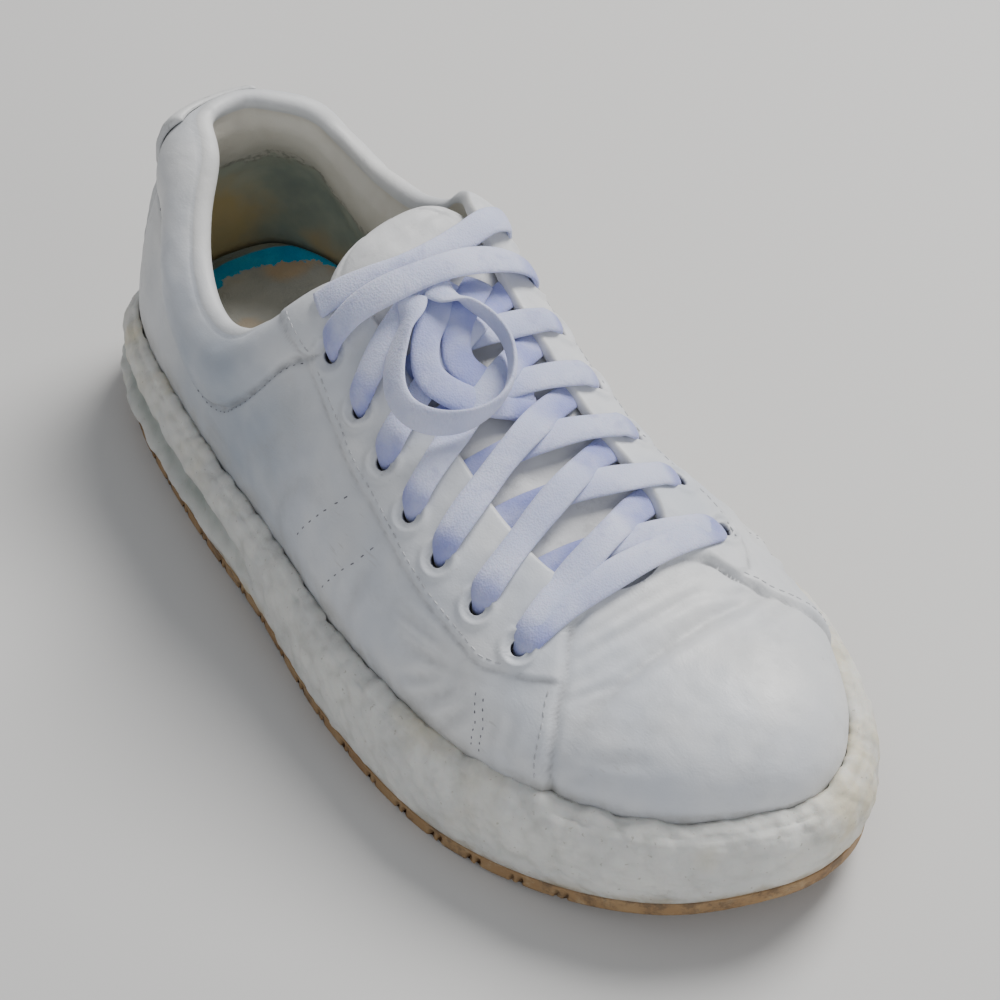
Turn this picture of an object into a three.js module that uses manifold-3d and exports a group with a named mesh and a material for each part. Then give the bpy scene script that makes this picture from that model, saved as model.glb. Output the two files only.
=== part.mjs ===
// Worn-out low leather sneaker, right shoe. Millimetres, +Z up, toe towards -Y, wearer's left side +X.
// Every form is worked from one last: an outline, a feather line, a ridge line and a top line.
import * as THREE from 'three';
import { mergeVertices } from 'three/addons/utils/BufferGeometryUtils.js';
import Module from 'manifold-3d';

const wasm = await Module();
wasm.setup();

// ---- driving dimensions -------------------------------------------------------------------
const GAP = 0.3;                 // clearance between touching pieces
const WALL = 2.4;                // leather and lining of the upper
const COLLAR_PAD = 6.2;          // extra thickness of the padded collar roll
const OUTSOLE_THICK = 4.5;
const TREAD_DEPTH = 1.3;
const RING_WIDTH = 14.5;         // border ring of the tread
const DISH_DEPTH = 6;            // how far the upper sits down inside the midsole rim
const INSOLE_THICK = 4.2;
const TOE_SPRING = 13;
const THROAT_END = 222;          // distance of the throat bottom from the heel back
const EYELET_RADIUS = 2.3;
const LACE_WIDTH = 8;
const LACE_THICK = 1.7;
const CENTRE_X = 3.6;            // puts the middle of the sole on x = 0
const CENTRE_S = 147.5;          // puts the middle of the length on y = 0

// Sole outline: [across, distance from the heel back], anticlockwise from the heel.
const OUTLINE = [
  [0, 0], [27, 6], [39.5, 28], [40.5, 60], [38, 100], [40, 136], [49, 177], [57.5, 208],
  [56, 239], [42.5, 270], [25, 289], [6, 295], [-13, 290], [-35, 275], [-53, 247.5],
  [-64.5, 211], [-65, 167], [-58, 121], [-51.5, 70], [-42.5, 29], [-27.5, 5.5],
];

// Smooth curve through [position, value] stations.
function curve(stations) {
  return (s) => {
    const last = stations.length - 1;
    if (s <= stations[0][0]) return stations[0][1];
    if (s >= stations[last][0]) return stations[last][1];
    let i = 0;
    while (s > stations[i + 1][0]) i += 1;
    const slope = (k) => {
      if (k === 0 || k === last) return 0;
      return (stations[k + 1][1] - stations[k - 1][1]) / (stations[k + 1][0] - stations[k - 1][0]);
    };
    const [a, va] = stations[i];
    const [b, vb] = stations[i + 1];
    const span = b - a;
    const t = (s - a) / span;
    const t2 = t * t;
    const t3 = t2 * t;
    return (2 * t3 - 3 * t2 + 1) * va + (t3 - 2 * t2 + t) * span * slope(i)
      + (3 * t2 - 2 * t3) * vb + (t3 - t2) * span * slope(i + 1);
  };
}

const featherHeight = curve([[0, 33], [100, 32.5], [180, 33], [230, 34.5], [262, 37], [290, 39.5]]);
const bodyHeight = curve([
  [9, 108], [30, 109], [60, 111], [90, 112], [118, 111], [135, 102.5], [151, 96], [166, 90],
  [180, 84], [196, 77], [211, 70.5], [225, 65], [240, 60],
]);
const ridgeAcross = curve([[0, 4], [30, 6], [110, 7], [150, 5], [185, 3], [222, 1], [286, 6]]);
const roundLateral = curve([[9, 1.9], [34, 1.75], [80, 1.95], [180, 2], [286, 2.2]]);
const roundMedial = curve([
  [9, 1.9], [24, 2.8], [50, 4.5], [118, 6], [135, 4.4], [151, 3.3], [169, 2.5], [190, 2.2], [286, 2.2],
]);
const insetLateral = curve([[0, 6.5], [40, 8], [130, 8.5], [210, 10], [286, 9]]);
const insetMedial = curve([[0, 6.5], [60, 5], [130, 4], [180, 6.5], [220, 9], [286, 9]]);
// Height of the collar rim on each side and how far in the throat edges stand.
const rimLateral = curve([
  [9, 101], [28, 98], [42, 88], [55, 80], [68, 75.5], [80, 75.5], [91, 80.5], [104, 90],
]);
const rimMedial = curve([
  [9, 101], [25, 98], [37, 90.5], [57, 87], [70, 88], [82, 91], [96, 97.5], [104, 103],
]);
const throatLateral = curve([[104, -15], [118, -16], [141, -18], [185, -21], [205, -20]]);
const throatMedial = curve([[104, 26], [118, 25], [141, 20.5], [175, 18.5], [205, 20]]);

const EYELETS_LATERAL = [
  [-28.5, 126], [-31, 142], [-34, 157], [-36.5, 172], [-37.5, 186], [-37, 202], [-35, 217],
];
const EYELETS_MEDIAL = [
  [31.5, 124], [29.5, 138], [27.3, 153], [27.3, 169], [28.4, 185], [30.2, 201], [31.3, 218],
];

function smoothstep(a, b, v) {
  const t = Math.min(1, Math.max(0, (v - a) / (b - a)));
  return t * t * (3 - 2 * t);
}

// Rise of the underside: heel bevel, arch and toe spring.
function rise(s) {
  const heel = s < 25 ? 2.5 * ((25 - s) / 25) ** 2 : 0;
  const toe = s > 205 ? TOE_SPRING * ((s - 205) / 90) ** 2 : 0;
  const arch = 1.4 * smoothstep(92, 116, s) * (1 - smoothstep(122, 146, s));
  return heel + toe + arch;
}

// ---- outline and its offsets --------------------------------------------------------------
function closedCurve(points, count) {
  const n = points.length;
  const out = [];
  for (let k = 0; k < count; k += 1) {
    const u = (k * n) / count;
    const i = Math.floor(u);
    const f = u - i;
    const p = [0, 1, 2, 3].map((d) => points[(i + d - 1 + n) % n]);
    out.push([0, 1].map((c) => 0.5 * (2 * p[1][c] + (p[2][c] - p[0][c]) * f
      + (2 * p[0][c] - 5 * p[1][c] + 4 * p[2][c] - p[3][c]) * f * f
      + (3 * p[1][c] - p[0][c] - 3 * p[2][c] + p[3][c]) * f * f * f)));
  }
  return out;
}

const BASE = closedCurve(OUTLINE, 840);

// Offset inwards by depth(s, side); returns the two halves as across-of-distance functions.
function contour(depth) {
  const n = BASE.length;
  const points = BASE.map((p, i) => {
    const a = BASE[(i + n - 3) % n];
    const b = BASE[(i + 3) % n];
    const length = Math.hypot(b[0] - a[0], b[1] - a[1]);
    const normal = [-(b[1] - a[1]) / length, (b[0] - a[0]) / length];
    const middle = smoothstep(-12, 12, p[0]);
    const d = depth(p[1], -1) * (1 - middle) + depth(p[1], 1) * middle;
    return [p[0] + normal[0] * d, p[1] + normal[1] * d];
  });
  let low = 0;
  let high = 0;
  points.forEach((p, i) => {
    if (p[1] < points[low][1]) low = i;
    if (p[1] > points[high][1]) high = i;
  });
  const walk = (step) => {
    const path = [];
    for (let i = low; i !== high; i = (i + step + n) % n) path.push(points[i]);
    path.push(points[high]);
    return path;
  };
  const first = walk(1);
  const second = walk(-1);
  const medial = first[Math.floor(first.length / 2)][0] > 0 ? first : second;
  const lateral = medial === first ? second : first;
  const across = (path, s) => {
    if (s <= path[0][1]) return path[0][0];
    let a = 0;
    let b = path.length - 1;
    while (b - a > 1) {
      const m = (a + b) >> 1;
      if (path[m][1] <= s) a = m;
      else b = m;
    }
    const span = path[b][1] - path[a][1];
    const t = span > 1e-9 ? Math.min(1, (s - path[a][1]) / span) : 0;
    return path[a][0] + (path[b][0] - path[a][0]) * t;
  };
  return {
    start: points[low][1],
    end: points[high][1],
    at: (side, s) => across(side < 0 ? lateral : medial, s),
  };
}

const outlineAt = (depth) => contour(() => depth);

// ---- the last: a family of shells, each e millimetres inside the outer leather ---------------
const OUTER = contour((s, side) => (side < 0 ? insetLateral(s) : insetMedial(s)));

function fullHeight(s) {
  const feather = featherHeight(s);
  if (s < 240) return bodyHeight(s);
  const e = Math.min(1, (s - 240) / (OUTER.end - 240));
  return feather + (60 - featherHeight(240)) * Math.sqrt(1 - e ** 2.3);
}

const shells = new Map();
function shell(e) {
  if (!shells.has(e)) {
    shells.set(e, contour((s, side) => (side < 0 ? insetLateral(s) : insetMedial(s)) + e));
  }
  return shells.get(e);
}

// Distance on shell e that matches distance s on the outer shell.
function matched(s, e) {
  const c = shell(e);
  return c.start + ((s - OUTER.start) * (c.end - c.start)) / (OUTER.end - OUTER.start);
}

function ridgeHeight(s, e) {
  const feather = featherHeight(s);
  const free = fullHeight(s) - feather;
  return feather + (e === 0 ? free : (free * free) / Math.max(1e-6, free + 1.15 * e));
}

// The heel back leans forward as it goes up.
function heelLean(s, z) {
  const up = z - 33;
  return (0.03 * up + 0.0023 * up * up) * Math.exp(-(((s - 6) / 38) ** 2));
}

// The worn heel counter leans to the wearer's left as it goes up.
function heelSway(s, z) {
  return 0.055 * Math.max(0, z - 33) * Math.exp(-(((s - 6) / 48) ** 2));
}

// Point of the last. side -1 lateral, +1 medial; angle 0 at the ridge, 90 degrees at the feather.
function last(s, side, angle, e) {
  const c = shell(e);
  const t = matched(s, e);
  const n = side < 0 ? roundLateral(s) : roundMedial(s);
  const ridge = ridgeAcross(s);
  const outside = Math.sin(angle) ** (2 / n);
  const up = Math.max(0, Math.cos(angle)) ** (2 / n);
  const x = ridge + (c.at(side, t) - ridge) * outside;
  const z = featherHeight(s) + (ridgeHeight(s, e) - featherHeight(s)) * up;
  return new THREE.Vector3(x + heelSway(s, z), t + heelLean(s, z), z);
}

function facing(s, side, angle, e) {
  const d = 0.35;
  const lo = Math.max(OUTER.start + 0.02, s - d);
  const hi = Math.min(OUTER.end - 0.02, s + d);
  const a0 = Math.max(0.02, angle - 0.03);
  const a1 = Math.min(Math.PI / 2 - 0.001, angle + 0.03);
  const along = last(hi, side, (a0 + a1) / 2, e).sub(last(lo, side, (a0 + a1) / 2, e));
  const around = last((lo + hi) / 2, side, a1, e).sub(last((lo + hi) / 2, side, a0, e));
  const normal = new THREE.Vector3().crossVectors(along, around);
  if (side > 0) normal.negate();
  return normal.normalize();
}

function normalAt(s, side, angle, e) {
  const near = Math.min(OUTER.end - 0.5, Math.max(OUTER.start + 0.5, s));
  const own = facing(near, side, angle, e);
  const blend = 1 - smoothstep(OUTER.start, OUTER.start + 2, s);
  if (blend > 0) own.lerp(own.clone().add(facing(near, -side, angle, e)), blend);
  return own.normalize();
}

// Angle at which the shell reaches the rim (collar) or the throat edge.
function cutAngle(s, side) {
  const n = side < 0 ? roundLateral(s) : roundMedial(s);
  const feather = featherHeight(s);
  const rim = (side < 0 ? rimLateral(s) : rimMedial(s)) - capRise(s);
  const up = Math.min(0.995, (rim - feather) / (fullHeight(s) - feather));
  const collar = Math.acos(up ** (n / 2));
  if (s >= THROAT_END) return 0;
  const ridge = ridgeAcross(s);
  const reach = OUTER.at(side, s) - ridge;
  const bend = s > 200 ? Math.sqrt(Math.max(0, 1 - ((s - 200) / (THROAT_END - 200)) ** 2)) : 1;
  const edge = ((side < 0 ? throatLateral(s) : throatMedial(s)) - ridge) * bend;
  const throat = Math.asin(Math.min(1, Math.max(0, edge / reach) ** (n / 2)));
  const mix = smoothstep(99, 118, s);
  return collar * (1 - mix) + throat * mix;
}

const padding = (s) => 1 - smoothstep(84, 108, s);
const capRise = (s) => 1.1 + 2.9 * padding(s);

// Outer leather: the last plus the puffed collar. down is the distance below the rim.
function leather(s, side, angle, down, extra) {
  const p = last(s, side, angle, 0);
  const puff = 2.2 * padding(s) * Math.sin(Math.PI * Math.min(1, Math.max(0, down / 25)));
  return p.addScaledVector(normalAt(s, side, angle, 0), puff + extra);
}

function lining(s, side, angle, down) {
  const p = last(s, side, angle, WALL);
  const swell = smoothstep(-1, 7, down) * (1 - smoothstep(12, 40, down));
  const pad = COLLAR_PAD * padding(s) * (0.55 * (1 - smoothstep(12, 40, down)) + 0.45 * swell);
  return p.addScaledVector(normalAt(s, side, angle, WALL), -pad);
}

// ---- meshes -------------------------------------------------------------------------------
function place(v) {
  return new THREE.Vector3(v.x + CENTRE_X, CENTRE_S - v.y, v.z);
}

// rows: arrays of points in the last's frame; neighbours are joined, closed says the rows wrap.
function sheetMesh(rows, closed) {
  const positions = [];
  const add = (a, b, c) => [a, b, c].forEach((p) => positions.push(p.x, p.y, p.z));
  const count = rows[0].length;
  const limit = closed ? rows.length : rows.length - 1;
  for (let i = 0; i < limit; i += 1) {
    const r0 = rows[i];
    const r1 = rows[(i + 1) % rows.length];
    for (let j = 0; j < count; j += 1) {
      const k = (j + 1) % count;
      add(r0[j], r1[j], r1[k]);
      add(r0[j], r1[k], r0[k]);
    }
  }
  return positions;
}

function clean(positions) {
  let geometry = new THREE.BufferGeometry();
  geometry.setAttribute('position', new THREE.Float32BufferAttribute(positions, 3));
  geometry = mergeVertices(geometry, 1e-3);
  const index = geometry.index.array;
  const kept = [];
  for (let i = 0; i < index.length; i += 3) {
    const [a, b, c] = [index[i], index[i + 1], index[i + 2]];
    if (a !== b && b !== c && a !== c) kept.push(a, b, c);
  }
  geometry.setIndex(kept);
  return geometry;
}

function volume(geometry) {
  const p = geometry.attributes.position;
  const index = geometry.index.array;
  const [a, b, c] = [new THREE.Vector3(), new THREE.Vector3(), new THREE.Vector3()];
  let total = 0;
  for (let i = 0; i < index.length; i += 3) {
    a.fromBufferAttribute(p, index[i]);
    b.fromBufferAttribute(p, index[i + 1]);
    c.fromBufferAttribute(p, index[i + 2]);
    total += a.dot(b.cross(c)) / 6;
  }
  return total;
}

function outward(geometry) {
  if (volume(geometry) < 0) {
    const index = geometry.index.array;
    for (let i = 0; i < index.length; i += 3) [index[i], index[i + 1]] = [index[i + 1], index[i]];
  }
  return geometry;
}

function toManifold(geometry) {
  const mesh = new wasm.Mesh({
    numProp: 3,
    vertProperties: new Float32Array(geometry.attributes.position.array),
    triVerts: new Uint32Array(geometry.index.array),
  });
  mesh.merge();
  return new wasm.Manifold(mesh);
}

function fromManifold(solid) {
  const mesh = solid.getMesh();
  const geometry = new THREE.BufferGeometry();
  geometry.setAttribute('position', new THREE.BufferAttribute(new Float32Array(mesh.vertProperties), 3));
  geometry.setIndex(Array.from(mesh.triVerts));
  return geometry;
}

function solidFrom(positions) {
  return toManifold(outward(clean(positions)));
}

// ---- upper --------------------------------------------------------------------------------
const START = OUTER.start;
const UPPER_STATIONS = [
  0, 0.2, 0.8, 1.9, 3.4, 5.6, 9, 13.5, 19, 26, 34, 42, 50, 58, 66, 74, 82, 89, 95, 100, 104, 108, 112,
].map((d) => START + d).concat([
  122, 129, 137, 145, 153, 161, 169, 177, 185, 193, 200, 206, 211, 215, 218, 220.2, 221.5,
  THROAT_END, 226, 231, 237, 244, 251, 258, 264.5, 270, 274.5, 278, 281, 283.2, 284.8, OUTER.end,
]).filter((s) => s <= OUTER.end);
const UPPER_ROWS = 7;

const floorHeight = (s) => featherHeight(s) - DISH_DEPTH;

// One closed section ring of a side: outside from the bottom edge up, round the rim, inside down.
function sectionRing(s, side) {
  const cut = cutAngle(s, side);
  const angles = [];
  for (let j = 0; j <= UPPER_ROWS; j += 1) {
    angles.push(Math.PI / 2 + (cut - Math.PI / 2) * (j / UPPER_ROWS));
  }
  const rim = last(s, side, cut, 0);
  const downs = angles.map((a) => last(s, side, a, 0).distanceTo(rim));
  const outside = angles.map((a, j) => leather(s, side, a, downs[j], 0));
  const inside = angles.map((a, j) => lining(s, side, a, downs[j]));
  const bottom = floorHeight(s) + GAP;
  const footOut = outside[0].clone().setZ(bottom);
  const footIn = inside[0].clone().setZ(bottom);
  const ring = [footOut, ...outside];
  if (s < THROAT_END) {
    const top = outside[UPPER_ROWS];
    const under = inside[UPPER_ROWS];
    const centre = top.clone().add(under).multiplyScalar(0.5);
    const arm = top.clone().sub(under).multiplyScalar(0.5);
    const tangent = top.clone().sub(outside[UPPER_ROWS - 1]);
    tangent.addScaledVector(arm, -tangent.dot(arm) / arm.lengthSq()).normalize();
    const reach = capRise(s) * Math.min(1, (THROAT_END - s) / 3);
    [Math.PI / 4, Math.PI / 2, (3 * Math.PI) / 4].forEach((phi) => {
      ring.push(centre.clone().addScaledVector(arm, Math.cos(phi))
        .addScaledVector(tangent, reach * Math.sin(phi)));
    });
  } else {
    const top = outside[UPPER_ROWS];
    const under = inside[UPPER_ROWS];
    [0.25, 0.5, 0.75].forEach((t) => ring.push(top.clone().lerp(under, t)));
  }
  inside.reverse().forEach((p) => ring.push(p));
  ring.push(footIn);
  return ring;
}

function eyeletTool([x, s], side) {
  const n = side < 0 ? roundLateral(s) : roundMedial(s);
  const ridge = ridgeAcross(s);
  const reach = (x - ridge) / (OUTER.at(side, s) - ridge);
  const angle = Math.asin(Math.min(1, reach ** (n / 2)));
  const centre = place(last(s, side, angle, 0));
  const normal = normalAt(s, side, angle, 0);
  const direction = new THREE.Vector3(normal.x, -normal.y, normal.z);
  const geometry = new THREE.CylinderGeometry(EYELET_RADIUS, EYELET_RADIUS, 12, 10);
  geometry.applyQuaternion(new THREE.Quaternion()
    .setFromUnitVectors(new THREE.Vector3(0, 1, 0), direction));
  geometry.translate(centre.x, centre.y, centre.z);
  geometry.deleteAttribute('normal');
  geometry.deleteAttribute('uv');
  return toManifold(mergeVertices(geometry, 1e-3));
}

function buildUpper() {
  const halves = [-1, 1].map((side) => {
    const rows = UPPER_STATIONS.map((s) => sectionRing(s, side).map(place));
    return { rows };
  });
  // Past the throat the two halves share their ridge, so the wall between them is left out.
  const positions = [];
  const rowLength = halves[0].rows[0].length;
  halves.forEach(({ rows }, half) => {
    for (let i = 0; i < rows.length - 1; i += 1) {
      const open = UPPER_STATIONS[i] < THROAT_END;
      for (let j = 0; j < rowLength; j += 1) {
        const k = (j + 1) % rowLength;
        const cap = j >= UPPER_ROWS + 1 && j <= UPPER_ROWS + 4;
        if (!open && cap) continue;
        const quad = [rows[i][j], rows[i + 1][j], rows[i + 1][k], rows[i][k]];
        if (half === 1) quad.reverse();
        [0, 1, 2, 0, 2, 3].forEach((q) => positions.push(quad[q].x, quad[q].y, quad[q].z));
      }
    }
  });
  let solid = solidFrom(positions);
  EYELETS_LATERAL.forEach((e) => { solid = solid.subtract(eyeletTool(e, -1)); });
  EYELETS_MEDIAL.forEach((e) => { solid = solid.subtract(eyeletTool(e, 1)); });
  return fromManifold(solid);
}

// ---- plates and rings that follow the sole --------------------------------------------------
function soleStations(count) {
  return Array.from({ length: count + 1 }, (_, i) => (1 - Math.cos((Math.PI * i) / count)) / 2);
}

// A closed loop of points of one contour: lateral from heel to toe, then medial back to the heel.
function loop(c, height, fractions) {
  const spots = fractions.map((f) => c.start + (c.end - c.start) * f);
  const lateral = spots.map((s) => place(new THREE.Vector3(c.at(-1, s), s, height(s))));
  const medial = spots.slice(1, -1).reverse()
    .map((s) => place(new THREE.Vector3(c.at(1, s), s, height(s))));
  return lateral.concat(medial);
}

// Fills a loop with a ladder of strips from side to side.
function ladder(ring, count, flip) {
  const positions = [];
  const total = ring.length;
  const medial = (i) => ring[(total - i) % total];
  for (let i = 0; i < count; i += 1) {
    const quad = [ring[i], ring[i + 1], medial(i + 1), medial(i)];
    if (flip) quad.reverse();
    [0, 1, 2, 0, 2, 3].forEach((q) => positions.push(quad[q].x, quad[q].y, quad[q].z));
  }
  return positions;
}

function lofted(loops, fractions) {
  const count = fractions.length - 1;
  const positions = [];
  for (let i = 0; i < loops.length - 1; i += 1) {
    const a = loops[i];
    const b = loops[i + 1];
    for (let j = 0; j < a.length; j += 1) {
      const k = (j + 1) % a.length;
      [a[j], a[k], b[k], a[j], b[k], b[j]].forEach((p) => positions.push(p.x, p.y, p.z));
    }
  }
  positions.push(...ladder(loops[0], count, true));
  positions.push(...ladder(loops[loops.length - 1], count, false));
  return positions;
}

// ---- midsole ------------------------------------------------------------------------------
const WALL_PROFILE = curve([
  [0, 1.4], [0.12, 0.6], [0.3, 0.1], [0.45, 0], [0.65, 0.4], [0.8, 1.3], [0.92, 3], [1, 5.2],
]);

function buildMidsole() {
  const fractions = soleStations(30);
  const under = (s) => rise(s) + OUTSOLE_THICK + GAP;
  const edge = (s) => featherHeight(s) - 1.2;
  const heights = [0, 0.1, 0.22, 0.34, 0.44, 0.54, 0.66, 0.8, 0.92, 1];
  const groove = (s, f) => {
    const along = 1 - smoothstep(70, 120, s);
    const hollow = 2.2 * Math.exp(-(((f - 0.44) / 0.09) ** 2));
    return along * (hollow - 0.5 * Math.exp(-(((f - 0.66) / 0.08) ** 2)));
  };
  const loops = heights.map((f) => {
    const c = contour((s, side) => WALL_PROFILE(f) + (side < 0 ? groove(s, f) : 0.4 * groove(s, f)));
    return loop(c, (s) => under(s) * (1 - f) + edge(s) * f, fractions);
  });
  const dish = contour((s, side) => (side < 0 ? insetLateral(s) : insetMedial(s)) - GAP);
  loops.push(loop(dish, (s) => featherHeight(s) - 0.6, fractions));
  loops.push(loop(dish, floorHeight, fractions));
  return fromManifold(solidFrom(lofted(loops, fractions)));
}

// ---- outsole ------------------------------------------------------------------------------
function plate(c, low, high, fractions) {
  return solidFrom(lofted([
    loop(c, (s) => rise(s) + low, fractions),
    loop(c, (s) => rise(s) + high, fractions),
  ], fractions));
}

// A block with its corners given as [across, distance]; it follows the rise of the sole.
function block(corners, low, high) {
  const bottom = corners.map(([x, s]) => place(new THREE.Vector3(x, s, rise(s) + low)));
  const top = corners.map(([x, s]) => place(new THREE.Vector3(x, s, rise(s) + high)));
  const faces = [[0, 1, 2, 3], [7, 6, 5, 4], [4, 5, 1, 0], [5, 6, 2, 1], [6, 7, 3, 2], [7, 4, 0, 3]];
  const all = bottom.concat(top);
  const positions = [];
  faces.forEach((f) => [0, 1, 2, 0, 2, 3].forEach((q) => {
    const p = all[f[q]];
    positions.push(p.x, p.y, p.z);
  }));
  return solidFrom(positions);
}

const STRIP_START = [1, 16];
const STRIP_END = [-12, 150];
const STRIP_WIDTH = 17;

function stripCorners(grow) {
  const dx = STRIP_END[0] - STRIP_START[0];
  const ds = STRIP_END[1] - STRIP_START[1];
  const length = Math.hypot(dx, ds);
  const u = [dx / length, ds / length];
  const v = [-u[1], u[0]];
  const half = STRIP_WIDTH / 2 + grow;
  const at = (p, along, side) => [p[0] + u[0] * along + v[0] * side, p[1] + u[1] * along + v[1] * side];
  return [at(STRIP_START, -grow, -half), at(STRIP_START, -grow, half),
    at(STRIP_END, grow, half), at(STRIP_END, grow, -half)];
}

// The strip is split along its length so that it bends with the arch.
function stripSolid(grow, low, high) {
  const [a, b, c, d] = stripCorners(grow);
  const steps = 14;
  const mix = (p, q, t) => [p[0] + (q[0] - p[0]) * t, p[1] + (q[1] - p[1]) * t];
  const rows = Array.from({ length: steps + 1 }, (_, i) => {
    const left = mix(a, d, i / steps);
    const right = mix(b, c, i / steps);
    return [[left, low], [right, low], [right, high], [left, high]]
      .map(([p, h]) => place(new THREE.Vector3(p[0], p[1], rise(p[1]) + h)));
  });
  const positions = sheetMesh(rows, false);
  const cap = (r) => [0, 1, 2, 0, 2, 3].forEach((q) => positions.push(r[q].x, r[q].y, r[q].z));
  cap(rows[0]);
  cap(rows[steps].slice().reverse());
  return solidFrom(positions);
}

function ringGrooves() {
  const cutters = [];
  const pitch = 13.2;
  const outer = outlineAt(-2);
  const inner = outlineAt(RING_WIDTH - 3);
  [-1, 1].forEach((side) => {
    for (let s = 24; s < 268; s += pitch) {
      const skew = side < 0 ? 1 : -1;
      const a = [outer.at(side, s), s];
      const b = [inner.at(side, s + skew), s + skew];
      const corners = [[a[0], a[1] - 1.1], [b[0], b[1] - 1.1], [b[0], b[1] + 1.1], [a[0], a[1] + 1.1]];
      cutters.push(block(corners, -3, TREAD_DEPTH));
    }
  });
  return cutters;
}

function fieldGrooves() {
  const cutters = [];
  const field = outlineAt(RING_WIDTH);
  const pitch = 10.4;
  for (let s = field.start + 4; s < field.end - 12; s += pitch) {
    const width = pitch - 3.2;
    const corners = [
      [field.at(-1, s), s], [field.at(1, s), s],
      [field.at(1, s + width), s + width], [field.at(-1, s + width), s + width],
    ];
    cutters.push(block(corners, -3, TREAD_DEPTH));
  }
  return cutters;
}

function buildOutsole() {
  const fractions = soleStations(30);
  let solid = plate(outlineAt(1.2), 0, OUTSOLE_THICK, fractions);
  const cutters = ringGrooves().concat(fieldGrooves());
  cutters.push(stripSolid(GAP, -3, 1.9));
  solid = solid.subtract(wasm.Manifold.union(cutters));
  return fromManifold(solid);
}

const buildStrip = () => fromManifold(stripSolid(0, 0.5, 1.9 - GAP));

// ---- insole -------------------------------------------------------------------------------
function buildInsole() {
  const fractions = soleStations(24);
  const c = shell(WALL + 0.7);
  const bottom = (s) => floorHeight(s) + GAP;
  const top = (s) => floorHeight(s) + GAP + INSOLE_THICK;
  const round = shell(WALL + 1.9);
  return fromManifold(solidFrom(lofted([
    loop(c, bottom, fractions), loop(c, (s) => top(s) - 1, fractions), loop(round, top, fractions),
  ], fractions)));
}

// ---- tongue -------------------------------------------------------------------------------
// Height of shell e over a point given across and along.
function heightOver(x, s, e) {
  const ridge = ridgeAcross(s);
  const side = x < ridge ? -1 : 1;
  const n = side < 0 ? roundLateral(s) : roundMedial(s);
  const reach = Math.min(0.999, Math.abs((x - ridge) / (shell(e).at(side, matched(s, e)) - ridge)));
  const angle = Math.asin(reach ** (n / 2));
  return featherHeight(s) + (ridgeHeight(s, e) - featherHeight(s)) * Math.cos(angle) ** (2 / n);
}

function buildTongue() {
  const rows = [];
  const left = curve([[106, -15], [112, -21], [126, -29], [160, -31], [228, -26]]);
  const right = curve([[106, 18], [112, 23], [126, 26.5], [160, 27], [228, 26]]);
  const thick = curve([[106, 4.2], [116, 4.6], [150, 3.6], [228, 2.6]]);
  const spots = [106, 107.5, 111, 117, 125, 134, 144, 155, 166, 177, 188, 199, 210, 220, 228];
  const across = [0, 0.04, 0.14, 0.28, 0.43, 0.57, 0.72, 0.86, 0.96, 1];
  spots.forEach((s, i) => {
    const end = i === 0 || i === spots.length - 1 ? 0.45 : 1;
    const top = [];
    const under = [];
    across.forEach((u) => {
      const x = left(s) + (right(s) - left(s)) * u;
      const edge = Math.min(1, Math.min(u, 1 - u) * 9 + 0.35) * end;
      const z = heightOver(x, s, WALL + 0.8);
      const t = thick(s) * edge;
      top.push(place(new THREE.Vector3(x, s, z - 0.5 * (thick(s) - t) * 0.5)));
      under.push(place(new THREE.Vector3(x, s, z - 0.5 * (thick(s) - t) * 0.5 - t)));
    });
    rows.push(top.concat(under.reverse()));
  });
  const positions = sheetMesh(rows, false);
  const cap = (ring) => {
    const n = across.length;
    for (let j = 0; j < n - 1; j += 1) {
      const quad = [ring[j], ring[j + 1], ring[2 * n - 2 - j], ring[2 * n - 1 - j]];
      [0, 1, 2, 0, 2, 3].forEach((q) => positions.push(quad[q].x, quad[q].y, quad[q].z));
    }
  };
  cap(rows[0]);
  cap(rows[rows.length - 1].slice().reverse());
  return fromManifold(solidFrom(positions));
}

// ---- heel tab -----------------------------------------------------------------------------
function buildHeelTab() {
  const spread = [3.4, 1.9, 0.8, 0.2];
  const columns = spread.map((d) => [START + d, -1]).concat([[START, 1]])
    .concat(spread.slice().reverse().map((d) => [START + d, 1]));
  const heights = [44, 46, 54, 63, 72, 81, 89, 93.5, 94.5];
  const rows = heights.map((z, i) => {
    const rounded = i === 0 || i === heights.length - 1 ? 0.7 : 2.2;
    const near = [];
    const far = [];
    columns.forEach(([s, side], k) => {
      const n = side < 0 ? roundLateral(s) : roundMedial(s);
      const up = (z - featherHeight(s)) / (fullHeight(s) - featherHeight(s));
      const angle = Math.acos(up ** (n / 2));
      const rim = last(s, side, cutAngle(s, side), 0);
      const down = last(s, side, angle, 0).distanceTo(rim);
      const edge = k === 0 || k === columns.length - 1 ? 0.7 : rounded;
      near.push(place(leather(s, side, angle, down, GAP + 0.25)));
      far.push(place(leather(s, side, angle, down, GAP + 0.25 + edge)));
    });
    return far.concat(near.reverse());
  });
  const positions = sheetMesh(rows, false);
  const n = columns.length;
  const cap = (ring, flip) => {
    for (let j = 0; j < n - 1; j += 1) {
      const quad = [ring[j], ring[j + 1], ring[2 * n - 2 - j], ring[2 * n - 1 - j]];
      if (flip) quad.reverse();
      [0, 1, 2, 0, 2, 3].forEach((q) => positions.push(quad[q].x, quad[q].y, quad[q].z));
    }
  };
  cap(rows[0], false);
  cap(rows[rows.length - 1], true);
  return fromManifold(solidFrom(positions));
}

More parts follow.
